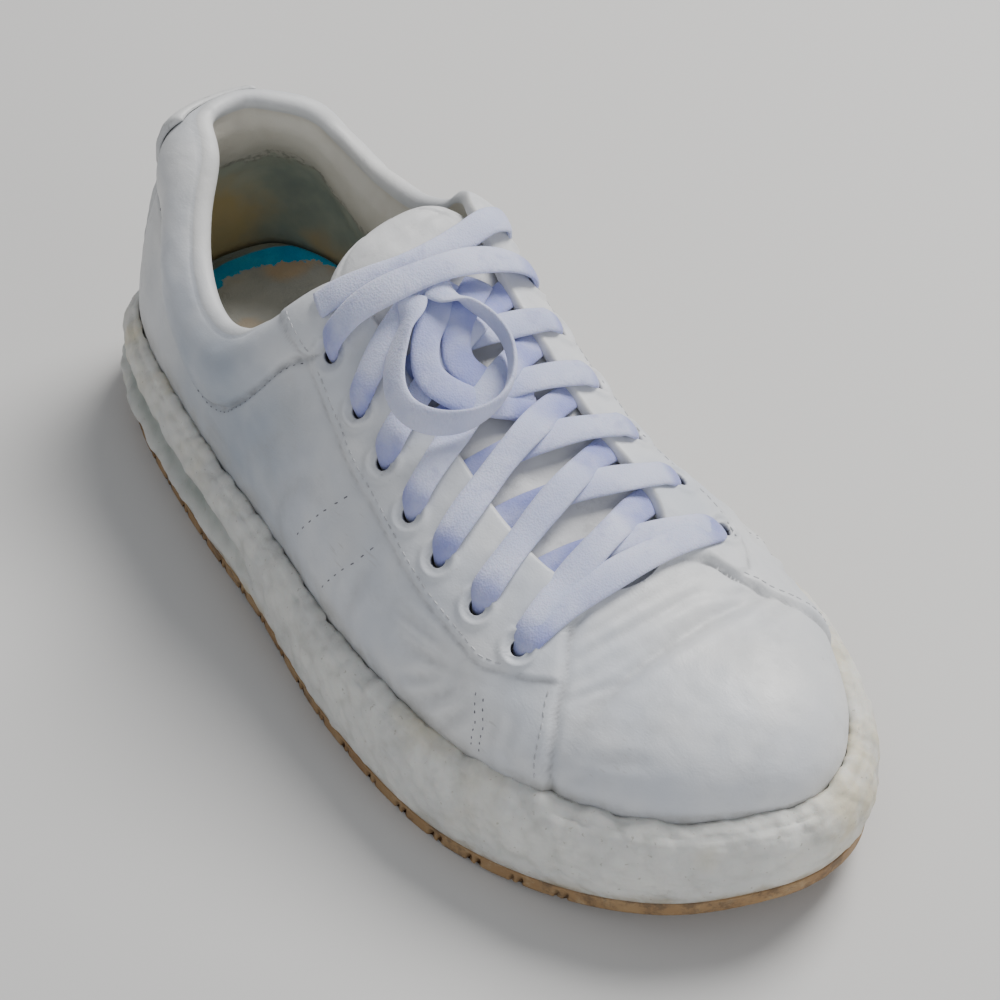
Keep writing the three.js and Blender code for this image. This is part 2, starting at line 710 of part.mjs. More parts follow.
// ---- laces --------------------------------------------------------------------------------
// A flat strip over the leather between two [across, distance] points.
function strip(from, to, lift, width) {
  const steps = 6;
  const dx = to[0] - from[0];
  const ds = to[1] - from[1];
  const length = Math.hypot(dx, ds);
  const v = [(-ds / length) * (width / 2), (dx / length) * (width / 2)];
  const rows = [];
  for (let i = 0; i <= steps; i += 1) {
    const x = from[0] + (dx * i) / steps;
    const s = from[1] + (ds * i) / steps;
    const corner = (k, e) => {
      const px = x + v[0] * k;
      const ps = s + v[1] * k;
      return place(new THREE.Vector3(px, ps, heightOver(px, ps, 0) + e));
    };
    rows.push([corner(-1, lift), corner(1, lift), corner(1, lift + LACE_THICK), corner(-1, lift + LACE_THICK)]);
  }
  const positions = sheetMesh(rows, false);
  const cap = (r) => [0, 1, 2, 0, 2, 3].forEach((q) => positions.push(r[q].x, r[q].y, r[q].z));
  cap(rows[0]);
  cap(rows[steps].slice().reverse());
  return solidFrom(positions);
}

const toward = (a, b, t) => [a[0] + (b[0] - a[0]) * t, a[1] + (b[1] - a[1]) * t];

function buildLaceBars() {
  const parts = [];
  const bar = (a, b, t0, t1) => parts.push(strip(toward(a, b, t0), toward(a, b, t1), 1.6, LACE_WIDTH));
  const lateral = EYELETS_LATERAL;
  const medial = EYELETS_MEDIAL;
  bar(lateral[6], medial[6], 0.04, 0.96);
  for (let i = 6; i > 0; i -= 1) {
    bar(lateral[i], medial[i - 1], 0.06, 0.82);
    bar(medial[i], lateral[i - 1], 0.06, 0.82);
  }
  return fromManifold(wasm.Manifold.union(parts));
}

// Free cords: [across, distance, lift of the band's middle above the leather].
const LOOP_ROUTE = [
  [-1.5, 132.8, 7.9], [0.2, 137, 7.9], [3.6, 142.6, 7.9], [5.6, 148.5, 7.9], [5.8, 155, 7.9], [3.6, 161.2, 7.9],
  [-1, 166, 7.9], [-6.5, 168.4, 7.9], [-12.5, 168, 7.9], [-17.8, 165, 7.9], [-21.4, 160.2, 7.9],
  [-22.8, 154.6, 7.9], [-21.8, 149, 7.9], [-18.6, 144, 7.9], [-14, 139.8, 7.9], [-9.4, 136.4, 7.9],
  [-6.4, 132.4, 7.9],
];
const END_ROUTE = [
  [30.2, 123.4, 1.5], [28, 123.6, 3.4], [22.5, 124.3, 5], [14, 125.6, 5.3], [5, 126.2, 5.3], [-4, 125.4, 5.3],
  [-12, 122.6, 5.2], [-18.5, 119.2, 4.6], [-23.5, 116.4, 3.9],
];

// A flat band along a route. standing puts its width upright on the leather.
function cord(route, standing, steps) {
  const spots = route.map(([x, s, lift]) => {
    const side = x < ridgeAcross(s) ? -1 : 1;
    const n = side < 0 ? roundLateral(s) : roundMedial(s);
    const reach = (x - ridgeAcross(s)) / (OUTER.at(side, s) - ridgeAcross(s));
    const angle = Math.asin(Math.min(1, reach ** (n / 2)));
    const out = normalAt(s, side, Math.max(angle, 0.03), 0);
    return { point: last(s, side, angle, 0).addScaledVector(out, lift), out };
  });
  const path = new THREE.CatmullRomCurve3(spots.map(({ point }) => place(point)));
  const frames = path.computeFrenetFrames(steps, false);
  const up = new THREE.Vector3(spots[0].out.x, -spots[0].out.y, spots[0].out.z);
  const wide = standing ? up : up.clone().cross(frames.tangents[0]);
  const turn = Math.atan2(wide.dot(frames.binormals[0]), wide.dot(frames.normals[0]));
  const [w, t] = [LACE_WIDTH / 2, LACE_THICK / 2];
  const section = [[w, 0.35 * t], [0.86 * w, t], [-0.86 * w, t], [-w, 0.35 * t],
    [-w, -0.35 * t], [-0.86 * w, -t], [0.86 * w, -t], [w, -0.35 * t]];
  const shape = new THREE.Shape(section.map(([a, b]) => new THREE.Vector2(
    a * Math.cos(turn) - b * Math.sin(turn), a * Math.sin(turn) + b * Math.cos(turn),
  )));
  const tube = new THREE.ExtrudeGeometry(shape, { steps, extrudePath: path, bevelEnabled: false });
  return fromManifold(solidFrom(Array.from(tube.attributes.position.array)));
}

// ---- assembly -----------------------------------------------------------------------------
const group = new THREE.Group();
group.name = 'worn_sneaker';

function addPiece(name, geometry, color, roughness) {
  const flat = geometry.index ? geometry : mergeVertices(geometry, 1e-3);
  flat.computeVertexNormals();
  const mesh = new THREE.Mesh(flat, new THREE.MeshStandardMaterial({ color, roughness, metalness: 0 }));
  mesh.name = name;
  group.add(mesh);
}

addPiece('outsole', buildOutsole(), 0x8a6a48, 0.8);
addPiece('sole_strip', buildStrip(), 0xc9cba8, 0.6);
addPiece('midsole', buildMidsole(), 0xe4e2d8, 0.85);
addPiece('upper', buildUpper(), 0xdfe2e6, 0.55);
addPiece('heel_tab', buildHeelTab(), 0xe6e6e4, 0.6);
addPiece('tongue', buildTongue(), 0xdcdfe4, 0.6);
addPiece('insole', buildInsole(), 0xa49c8c, 0.9);
addPiece('lace_bars', buildLaceBars(), 0xdfe2f2, 0.85);
addPiece('lace_loop', cord(LOOP_ROUTE, true, 22), 0xdfe2f2, 0.85);
addPiece('lace_end', cord(END_ROUTE, false, 14), 0xdfe2f2, 0.85);

export default group;
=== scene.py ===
"""Looks of the worn-out low sneaker (right shoe). Lengths are in millimetres until to_metres."""
import math

import bmesh
import bpy
import numpy as np
from mathutils import Matrix, Vector


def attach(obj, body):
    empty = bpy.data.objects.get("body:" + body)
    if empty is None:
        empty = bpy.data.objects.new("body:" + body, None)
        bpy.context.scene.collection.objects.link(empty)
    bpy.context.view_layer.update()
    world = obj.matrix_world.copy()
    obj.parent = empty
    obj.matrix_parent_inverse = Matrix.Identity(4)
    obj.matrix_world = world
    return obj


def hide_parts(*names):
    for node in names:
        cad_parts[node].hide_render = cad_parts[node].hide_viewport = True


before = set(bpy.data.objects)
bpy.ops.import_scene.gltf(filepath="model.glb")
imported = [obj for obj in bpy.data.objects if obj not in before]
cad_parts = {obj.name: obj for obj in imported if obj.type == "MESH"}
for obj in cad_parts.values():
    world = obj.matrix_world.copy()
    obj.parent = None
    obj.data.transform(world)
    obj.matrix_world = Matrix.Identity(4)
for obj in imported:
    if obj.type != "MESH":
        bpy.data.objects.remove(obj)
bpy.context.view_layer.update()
rng = np.random.default_rng(7)

# ---- camera: the low three-quarter view from above the lateral side ---------------------------
CAMERA_AT = Vector((-0.2821, -0.3952, 0.5374))
AIM = Vector((0.0053, -0.0126, 0.045))
ROLL = math.radians(-0.34)
LENS = 89.0


def add_camera():
    data = bpy.data.cameras.new("camera")
    data.lens = LENS
    data.sensor_width = 36
    data.clip_start = 0.01
    camera = bpy.data.objects.new("camera", data)
    bpy.context.collection.objects.link(camera)
    turn = (AIM - CAMERA_AT).to_track_quat("-Z", "Y").to_matrix().to_4x4()
    camera.matrix_world = Matrix.Translation(CAMERA_AT) @ turn @ Matrix.Rotation(ROLL, 4, "Z")
    bpy.context.scene.camera = camera


add_camera()

# ---- the last, as in the part's source ---------------------------------------------------------
GAP = 0.3  # between neighbouring pieces
OUTSOLE_THICK = 4.5
WALL = 2.4
COLLAR_PAD = 6.2
DISH_DEPTH = 6.0
TOE_SPRING = 13.0
THROAT_END = 222.0
CENTRE_X = 3.6
CENTRE_S = 147.5
OUTLINE = [
    (0, 0), (27, 6), (39.5, 28), (40.5, 60), (38, 100), (40, 136), (49, 177), (57.5, 208),
    (56, 239), (42.5, 270), (25, 289), (6, 295), (-13, 290), (-35, 275), (-53, 247.5),
    (-64.5, 211), (-65, 167), (-58, 121), (-51.5, 70), (-42.5, 29), (-27.5, 5.5),
]


def curve(stations):
    xs = np.array([p[0] for p in stations], float)
    vs = np.array([p[1] for p in stations], float)
    slopes = np.zeros(len(xs))
    slopes[1:-1] = (vs[2:] - vs[:-2]) / (xs[2:] - xs[:-2])

    def value(s):
        s = np.clip(np.asarray(s, float), xs[0], xs[-1])
        i = np.clip(np.searchsorted(xs, s, side="right") - 1, 0, len(xs) - 2)
        span = xs[i + 1] - xs[i]
        t = (s - xs[i]) / span
        t2, t3 = t * t, t * t * t
        return ((2 * t3 - 3 * t2 + 1) * vs[i] + (t3 - 2 * t2 + t) * span * slopes[i]
                + (3 * t2 - 2 * t3) * vs[i + 1] + (t3 - t2) * span * slopes[i + 1])
    return value


feather_height = curve([(0, 33), (100, 32.5), (180, 33), (230, 34.5), (262, 37), (290, 39.5)])
body_height = curve([(9, 108), (30, 109), (60, 111), (90, 112), (118, 111), (135, 102.5), (151, 96),
                     (166, 90), (180, 84), (196, 77), (211, 70.5), (225, 65), (240, 60)])
ridge_across = curve([(0, 4), (30, 6), (110, 7), (150, 5), (185, 3), (222, 1), (286, 6)])
round_lateral = curve([(9, 1.9), (34, 1.75), (80, 1.95), (180, 2), (286, 2.2)])
round_medial = curve([(9, 1.9), (24, 2.8), (50, 4.5), (118, 6), (135, 4.4), (151, 3.3), (169, 2.5),
                      (190, 2.2), (286, 2.2)])
inset_lateral = curve([(0, 6.5), (40, 8), (130, 8.5), (210, 10), (286, 9)])
inset_medial = curve([(0, 6.5), (60, 5), (130, 4), (180, 6.5), (220, 9), (286, 9)])
rim_lateral = curve([(9, 101), (28, 98), (42, 88), (55, 80), (68, 75.5), (80, 75.5), (91, 80.5), (104, 90)])
rim_medial = curve([(9, 101), (25, 98), (37, 90.5), (57, 87), (70, 88), (82, 91), (96, 97.5), (104, 103)])
throat_lateral = curve([(104, -15), (118, -16), (141, -18), (185, -21), (205, -20)])
throat_medial = curve([(104, 26), (118, 25), (141, 20.5), (175, 18.5), (205, 20)])
EYELETS_LATERAL = [(-28.5, 126), (-31, 142), (-34, 157), (-36.5, 172), (-37.5, 186), (-37, 202), (-35, 217)]
EYELETS_MEDIAL = [(31.5, 124), (29.5, 138), (27.3, 153), (27.3, 169), (28.4, 185), (30.2, 201), (31.3, 218)]


def smoothstep(a, b, v):
    t = np.clip((np.asarray(v, float) - a) / (b - a), 0, 1)
    return t * t * (3 - 2 * t)


def rise(s):
    s = np.asarray(s, float)
    heel = 2.5 * (np.clip(25 - s, 0, None) / 25) ** 2
    toe = TOE_SPRING * (np.clip(s - 205, 0, None) / 90) ** 2
    arch = 1.4 * smoothstep(92, 116, s) * (1 - smoothstep(122, 146, s))
    return heel + toe + arch


def smooth_through(p0, p1, p2, p3, f):
    """Points between p1 and p2 of a smooth curve through all four; f runs from 0 to 1."""
    return 0.5 * (2 * p1 + (p2 - p0) * f + (2 * p0 - 5 * p1 + 4 * p2 - p3) * f ** 2
                  + (3 * p1 - p0 - 3 * p2 + p3) * f ** 3)


def closed_curve(points, count):
    P = np.array(points, float)
    n = len(P)
    u = np.arange(count) * n / count
    i = u.astype(int)
    return smooth_through(*(P[(i + d - 1) % n] for d in range(4)), (u - i)[:, None])


def open_curve(points, finer):
    """The smooth curve through points, with finer steps from each to the next."""
    p = np.asarray(points, float)
    n = len(p)
    u = np.linspace(0, n - 1, finer * n)
    i = np.minimum(u.astype(int), n - 2)
    padded = np.concatenate([[2 * p[0] - p[1]], p, [2 * p[-1] - p[-2]]])
    return smooth_through(*(padded[i + d] for d in range(4)), (u - i)[:, None])


BASE = closed_curve(OUTLINE, 840)


class Contour:
    def __init__(self, depth):
        a, b = np.roll(BASE, 3, 0), np.roll(BASE, -3, 0)
        t = b - a
        t /= np.linalg.norm(t, axis=1)[:, None]
        normal = np.stack([-t[:, 1], t[:, 0]], 1)
        s = BASE[:, 1]
        middle = smoothstep(-12, 12, BASE[:, 0])
        d = depth(s, -1) * (1 - middle) + depth(s, 1) * middle
        pts = BASE + normal * d[:, None]
        low, high = int(np.argmin(pts[:, 1])), int(np.argmax(pts[:, 1]))
        n = len(pts)

        def walk(step):
            idx = []
            i = low
            while i != high:
                idx.append(i)
                i = (i + step) % n
            idx.append(high)
            return pts[idx]
        one, two = walk(1), walk(-1)
        medial, lateral = (one, two) if one[len(one) // 2][0] > 0 else (two, one)
        self.start, self.end = pts[low, 1], pts[high, 1]
        self.paths = {}
        for side, path in ((-1, lateral), (1, medial)):
            s = np.maximum.accumulate(path[:, 1]) + np.arange(len(path)) * 1e-9
            self.paths[side] = (s, path[:, 0])

    def at(self, side, s):
        xs, vs = self.paths[side]
        return np.interp(s, xs, vs)


def roundness(s, side):
    return round_lateral(s) if side < 0 else round_medial(s)


def inset(s, side):
    """How far the upper stands in from the sole's outline."""
    return inset_lateral(s) if side < 0 else inset_medial(s)


def outline_at(depth):
    return Contour(lambda s, side: np.full(np.shape(s), float(depth)))


SHELLS = {}


def shell(e):
    if e not in SHELLS:
        SHELLS[e] = Contour(lambda s, side: inset(s, side) + e)
    return SHELLS[e]


OUTER = shell(0)


def full_height(s):
    s = np.asarray(s, float)
    e = np.clip((s - 240) / (OUTER.end - 240), 0, 1)
    toe = feather_height(s) + (60 - feather_height(240)) * np.sqrt(1 - e ** 2.3)
    return np.where(s < 240, body_height(s), toe)


def matched(s, e):
    c = shell(e)
    return c.start + (s - OUTER.start) * (c.end - c.start) / (OUTER.end - OUTER.start)


def ridge_height(s, e):
    free = full_height(s) - feather_height(s)
    return feather_height(s) + (free if e == 0 else free * free / np.maximum(1e-6, free + 1.15 * e))


def heel_lean(s, z):
    up = z - 33
    return (0.03 * up + 0.0023 * up * up) * np.exp(-((s - 6) / 38) ** 2)


def last(s, side, angle, e):
    s, angle = np.broadcast_arrays(np.asarray(s, float), np.asarray(angle, float))
    c = shell(e)
    t = matched(s, e)
    n = roundness(s, side)
    ridge = ridge_across(s)
    out = np.sin(angle) ** (2 / n)
    up = np.maximum(0, np.cos(angle)) ** (2 / n)
    x = ridge + (c.at(side, t) - ridge) * out
    z = feather_height(s) + (ridge_height(s, e) - feather_height(s)) * up
    x = x + 0.055 * np.maximum(0, z - 33) * np.exp(-((s - 6) / 48) ** 2)
    return np.stack([x, t + heel_lean(s, z), z], -1)


def height_over(x, s, e):
    x, s = np.broadcast_arrays(np.asarray(x, float), np.asarray(s, float))
    out = np.zeros(x.shape)
    ridge = ridge_across(s)
    for side in (-1, 1):
        n = roundness(s, side)
        reach = np.clip(np.abs((x - ridge) / (shell(e).at(side, matched(s, e)) - ridge)), 0, 0.999)
        angle = np.arcsin(reach ** (n / 2))
        z = feather_height(s) + (ridge_height(s, e) - feather_height(s)) * np.cos(angle) ** (2 / n)
        out = np.where((x < ridge) == (side < 0), z, out)
    return out


def to_metres(points):
    p = np.asarray(points, float)
    return np.stack([p[..., 0] + CENTRE_X, CENTRE_S - p[..., 1], p[..., 2]], -1) * 0.001


def run_along(line):
    """Length along a line from its first point to each one."""
    return np.concatenate([[0], np.cumsum(np.linalg.norm(np.diff(line, axis=0), axis=1))])


def unit(v):
    return v / np.maximum(1e-12, np.linalg.norm(v, axis=-1, keepdims=True))


START, END = OUTER.start, OUTER.end


def facing(s, side, angle, e):
    lo, hi = np.maximum(START + 0.02, s - 0.35), np.minimum(END - 0.02, s + 0.35)
    a0, a1 = np.maximum(0.02, angle - 0.03), np.minimum(np.pi / 2 - 0.001, angle + 0.03)
    mid = (a0 + a1) / 2
    along = last(hi, side, mid, e) - last(lo, side, mid, e)
    around = last((lo + hi) / 2, side, a1, e) - last((lo + hi) / 2, side, a0, e)
    return unit(np.cross(along, around) * (-1 if side > 0 else 1))


def normal_at(s, side, angle, e):
    near = np.clip(s, START + 0.5, END - 0.5)
    own = facing(near, side, angle, e)
    blend = (1 - smoothstep(START, START + 2, s))[..., None]
    return unit(own + facing(near, -side, angle, e) * blend)


def padding(s):
    return 1 - smoothstep(84, 108, s)


def cap_rise(s):
    return 1.1 + 2.9 * padding(s)


def cut_angle(s, side):
    s = np.asarray(s, float)
    n = roundness(s, side)
    feather = feather_height(s)
    rim = (rim_lateral(s) if side < 0 else rim_medial(s)) - cap_rise(s)
    collar = np.arccos(np.clip((rim - feather) / (full_height(s) - feather), 0, 0.995) ** (n / 2))
    ridge = ridge_across(s)
    reach = OUTER.at(side, s) - ridge
    bend = np.where(s > 200, np.sqrt(np.clip(1 - ((s - 200) / 22) ** 2, 0, None)), 1)
    edge = ((throat_lateral(s) if side < 0 else throat_medial(s)) - ridge) * bend
    ratio = np.clip(edge / np.where(np.abs(reach) < 1e-6, 1e-6, reach), 0, 1)
    throat = np.arcsin(np.clip(ratio ** (n / 2), 0, 1))
    mix = smoothstep(99, 118, s)
    return np.where(s >= THROAT_END, 0, collar * (1 - mix) + throat * mix)


def below_rim(s, side, angle):
    return np.linalg.norm(last(s, side, angle, 0) - last(s, side, cut_angle(s, side), 0), axis=-1)


# ---- seams, overlays and creases ----------------------------------------------------------------
# Lower edge of the eyelet stay and front edge of the quarter: degrees round from the ridge.
STAY_LATERAL = curve([(100, 42), (122.5, 45), (136.5, 47), (150.5, 49), (164.5, 50), (178.5, 52),
                      (190.5, 53), (203.5, 53), (212.5, 53), (217, 50), (224.5, 45), (230, 40)])
STAY_MEDIAL = curve([(100, 50), (122, 46), (150, 42), (178, 42), (203, 44), (215, 44), (225, 40), (234, 32)])
FRONT_LATERAL = curve([(14, 220), (25, 221.5), (38, 229.5), (49, 233.5), (57, 236.5), (72, 239.5),
                       (90, 241.5)])
FRONT_MEDIAL = curve([(10, 221), (23, 224.5), (27, 229.5), (32, 233.5), (43, 240.5), (58, 246.5), (90, 251)])
# How far the padded collar's lower seam lies below the rim.
ROLL_LATERAL = curve([(9, 24), (30, 25), (50, 24), (64, 22), (82, 23), (98, 25), (113, 27), (122, 20),
                      (128, 8)])
ROLL_MEDIAL = curve([(9, 24), (30, 25), (55, 26), (80, 27), (98, 28), (110, 27), (120, 20), (126, 8)])

# Creases: distance and degrees from the ridge, with a minus sign on the lateral side; then depth, width.
CREASES = [
    ([(242.5, -66), (241.5, -52), (240.5, -38), (239.8, -24), (239, -12), (238.6, 6), (238.6, 20),
      (238.2, 34), (238, 46)], 1.05, 2.1),
    ([(226, -34), (225, -26), (226, -14), (226.5, 4)], 0.3, 1.1),
    ([(228.5, -36), (229, -24), (230.5, -10), (231, 8), (231.5, 18)], 0.45, 1.2),
    ([(231.5, -40), (233.5, -28), (235, -16), (235.6, -4)], 0.25, 1.2),
    ([(234, -44), (237, -34), (239.4, -26)], 0.4, 1.0),
    ([(233, 12), (234.5, 22), (236, 30), (240, 44)], 0.4, 1.3),
    ([(241.5, 52), (243.5, 44), (245, 32), (246, 22)], 0.5, 1.8),
    ([(214, -58), (206, -63), (199, -66), (189, -69)], 0.9, 1.9),
    ([(214, -62), (208, -70), (203, -79), (198, -87)], 0.9, 1.8),
    ([(213, -60), (205, -68), (197, -76), (190, -84)], 0.7, 1.6),
    ([(215.5, -66), (214, -73), (211, -81), (209, -88)], 0.8, 1.7),
    ([(210, -57), (200, -60), (190, -61.5), (180, -64)], 0.5, 1.5),
    ([(226, -58), (228, -66), (229, -76), (232, -86)], 0.5, 1.6),
    ([(224, -62), (224.5, -72), (226, -84)], 0.4, 1.3),
    ([(247, -70), (250, -64), (256, -57), (262, -52)], 0.35, 1.8),
    ([(244.5, -78), (249, -74), (256, -70)], 0.35, 1.6),
    ([(172, -60), (168, -68), (166, -78), (166, -86)], 0.5, 2.4),
    ([(140, -60), (132, -68), (126, -78), (124, -87)], 0.6, 3.0),
    ([(122, -62), (112, -72), (104, -82)], 0.5, 2.6),
    ([(74, -84), (84, -84), (96, -83)], 0.6, 2.6),
    ([(222, 56), (214, 62), (204, 68), (196, 76)], 0.9, 2.0),
    ([(226, 62), (220, 71), (215, 80), (212, 87)], 0.8, 1.8),
    ([(232, 60), (229, 70), (228, 80)], 0.6, 1.7),
    ([(206, 58), (196, 62), (184, 66), (172, 72)], 0.6, 2.1),
    ([(150, 60), (138, 68), (128, 78)], 0.6, 3.0),
    ([(96, 66), (86, 72), (74, 78), (62, 84)], 0.6, 2.6),
    ([(62, -62), (52, -58), (40, -54)], 0.5, 2.2),
    ([(40, 60), (52, 66), (66, 70)], 0.5, 2.4),
]


def crease_line(spots):
    """A crease's line over the leather through its spots."""
    places = [last(s, -1 if a < 0 else 1, math.radians(abs(a)), 0) for s, a in spots]
    return resample(open_curve(places, 12), 0.8)


def resample(points, step):
    points = np.asarray(points, float)
    run = run_along(points)
    count = max(2, int(round(run[-1] / step)) + 1)
    at = np.linspace(0, run[-1], count)
    return np.stack([np.interp(at, run, points[:, c]) for c in range(3)], -1)


def near_line(points, line, reach):
    """Distance to a line and the share along it, for the points within reach of its box."""
    low, high = line.min(0) - reach, line.max(0) + reach
    chosen = np.flatnonzero(((points > low) & (points < high)).all(-1))
    distance, share = np.zeros(len(chosen)), np.zeros(len(chosen))
    for at in range(0, len(chosen), 4000):
        gap = np.linalg.norm(points[chosen[at:at + 4000], None] - line[None], axis=-1)
        best = gap.argmin(1)
        distance[at:at + 4000] = gap[np.arange(len(best)), best]
        share[at:at + 4000] = best / (len(line) - 1)
    return chosen, distance, share


CREASE_LINES = [(crease_line(spots), depth, width) for spots, depth, width in CREASES]


def creased(points):
    """Height change and a darkening share from the creases."""
    height, shade = np.zeros(len(points)), np.zeros(len(points))
    for line, depth, width in CREASE_LINES:
        chosen, d, share = near_line(points, line, 4 * width)
        fade = np.sin(np.pi * np.clip(share, 0.02, 0.98)) ** 0.6
        trough = np.exp(-(d / width) ** 2)
        height[chosen] += depth * fade * (0.45 * np.exp(-((d - 2.1 * width) / (0.9 * width)) ** 2) - trough)
        shade[chosen] = np.maximum(shade[chosen], fade * trough * min(1, depth))
    return height, shade


WAVE_TERMS = 7


def waves(points, size, seed):
    """Smooth noise of about one unit, from a few sines in fixed directions."""
    dice = np.random.default_rng(seed)
    total = np.zeros(points.shape[:-1])
    for _ in range(WAVE_TERMS):
        direction = unit(dice.normal(size=3)) * 2 * np.pi / (size * dice.uniform(0.7, 1.7))
        total += np.sin(points @ direction + dice.uniform(0, 6.28))
    return total / math.sqrt(WAVE_TERMS)


def dents(points):
    """Shallow dents of the leather."""
    return 0.22 * waves(points, 26, 3) + 0.07 * waves(points, 7, 4)


def relief(s, side, angle):
    """Height of overlays and seams above the plain leather, and how far the point is in a seam."""
    degrees = np.degrees(angle)
    here = last(s, side, angle, 0)
    stay = (STAY_LATERAL if side < 0 else STAY_MEDIAL)(s)
    to_stay = np.linalg.norm(last(s, side, np.radians(stay), 0) - here, axis=-1) * np.sign(stay - degrees)
    to_stay = np.where((s > 101) & (s < 231), to_stay, -9)
    front = (FRONT_LATERAL if side < 0 else FRONT_MEDIAL)(degrees) - s
    start = smoothstep(14, 24, degrees)
    down = below_rim(s, side, angle)
    roll_edge = (ROLL_LATERAL if side < 0 else ROLL_MEDIAL)(s)
    to_roll = roll_edge - down
    quarter = smoothstep(-0.5, 0.5, front) * start
    height = 0.9 * smoothstep(-0.6, 0.6, to_stay) * smoothstep(-0.5, 2.5, front) + 1.3 * quarter
    # The step at the quarter's front fades to nothing behind it, so the heel keeps its size.
    height -= 1.3 * smoothstep(5, 60, front) * quarter
    inside = smoothstep(-1, 1, to_roll) * (1 - smoothstep(118, 127, s))
    bulge = np.sin(np.pi * np.clip(down / np.maximum(6, roll_edge), 0, 1)) ** 0.7
    height += inside * 1.9 * bulge
    groove = np.exp(-(to_roll / 1.3) ** 2) * (1 - smoothstep(120, 127, s))
    height -= 1.3 * groove
    seam = np.maximum(groove, 0.8 * np.exp(-((to_stay + 0.7) / 0.8) ** 2) * smoothstep(0, 3, front))
    seam = np.maximum(seam, np.exp(-((front + 0.8) / 0.7) ** 2) * start)
    height -= 0.75 * np.exp(-((front + 1.1) / 0.9) ** 2) * start
    return height, seam


def eyelet_angle(x, s, side):
    ridge = ridge_across(s)
    reach = (x - ridge) / (OUTER.at(side, s) - ridge)
    return float(np.arcsin(min(1, reach ** (roundness(s, side) / 2))))


def leather(s, side, angle):
    """Outer face of the upper with its overlays; creases and dents are added to the mesh."""
    s, angle = np.broadcast_arrays(np.asarray(s, float), np.asarray(angle, float))
    down = below_rim(s, side, angle)
    puff = 2.2 * padding(s) * np.sin(np.pi * np.clip(down / 25, 0, 1))
    height, _ = relief(s, side, angle)
    return last(s, side, angle, 0) + normal_at(s, side, angle, 0) * (puff + height)[..., None]


EYELETS = [(side, x, s, eyelet_angle(x, s, side))
           for side, spots in ((-1, EYELETS_LATERAL), (1, EYELETS_MEDIAL)) for x, s in spots]
EYELET_AT = np.array([leather(s, side, a) for side, x, s, a in EYELETS])
EYELET_OUT = np.array([normal_at(np.float64(s), side, np.float64(a), 0) for side, x, s, a in EYELETS])


# ---- mesh helpers -------------------------------------------------------------------------------
def mesh_object(name, points, faces, attributes=None, merge=0.00002):
    """Makes an object from points in the last's frame; coincident points are joined."""
    mesh = bpy.data.meshes.new(name)
    places = to_metres(points)
    corners = np.array([list(f)[:4] for f in faces])
    a, b, c, d = (places[corners[:, k]] for k in range(4))
    volume = (a * np.cross(b, c)).sum() + (a * np.cross(c, d)).sum()
    turned = [list(map(int, f))[::-1 if volume < 0 else 1] for f in faces]
    mesh.from_pydata(places.tolist(), [], turned)
    for key, values in (attributes or {}).items():
        layer = mesh.attributes.new(key, "FLOAT", "POINT")
        layer.data.foreach_set("value", np.asarray(values, np.float32))
    work = bmesh.new()
    work.from_mesh(mesh)
    if merge:
        bmesh.ops.remove_doubles(work, verts=work.verts, dist=merge)
    work.to_mesh(mesh)
    work.free()
    mesh.polygons.foreach_set("use_smooth", [True] * len(mesh.polygons))
    piece = bpy.data.objects.new(name, mesh)
    bpy.context.collection.objects.link(piece)
    return piece


def grid_faces(rows, columns, wrap=False, first=0):
    i, j = np.meshgrid(np.arange(rows - 1), np.arange(columns if wrap else columns - 1), indexing="ij")
    k = (j + 1) % columns
    return (first + np.stack([i * columns + j, (i + 1) * columns + j, (i + 1) * columns + k, i * columns + k],
                             -1)).reshape(-1, 4)


def folded_faces(rows, width):
    """Faces of a closed stack of rings, each of which goes out and comes back over itself."""
    n = width // 2
    faces = list(grid_faces(rows, width, wrap=True))
    for first, way in ((0, 1), ((rows - 1) * width, -1)):
        faces += [[first + j, first + j + 1, first + 2 * n - 2 - j, first + 2 * n - 1 - j][::way]
                  for j in range(n - 1)]
    return faces


def band_faces(rows, width, first=0):
    """Faces of a closed stack of rings with a flat face at each end."""
    faces = [list(f) for f in grid_faces(rows, width, wrap=True, first=first)]
    faces.append([first + j for j in range(width)])
    faces.append([first + (rows - 1) * width + j for j in range(width)][::-1])
    return faces


def piece_on(piece, material, slot, *nodes):
    piece.data.materials.append(material)
    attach(piece, "root")
    if nodes:
        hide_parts(*nodes)
    return piece


# ---- upper --------------------------------------------------------------------------------------
OUTER_ROWS, CAP_ROWS, INNER_ROWS = 84, 9, 30


def even_angles(s, side, cut, count):
    """Angles from the feather up to the cut, evenly spaced along the leather."""
    fine = np.linspace(0, 1, 360) ** 1.6
    out = np.zeros((len(s), count))
    for i, (at, top) in enumerate(zip(s, cut)):
        angles = top + (np.pi / 2 - top) * fine
        line = last(at, side, angles, 0)
        run = run_along(line)
        out[i] = np.interp(np.linspace(run[-1], 0, count), run, angles)
    return out


def upper_stations():
    head = START + np.array([0, 0.08, 0.25, 0.55, 1, 1.6, 2.4, 3.3, 4.2])
    body = np.arange(START + 5, 217, 0.82)
    throat = np.arange(217, 222, 0.38)
    vamp = np.arange(222, END - 3.6, 0.82)
    tail = END - np.array([3.0, 2.2, 1.5, 0.9, 0.45, 0.15, 0])
    return np.concatenate([head, body, throat, vamp, tail])


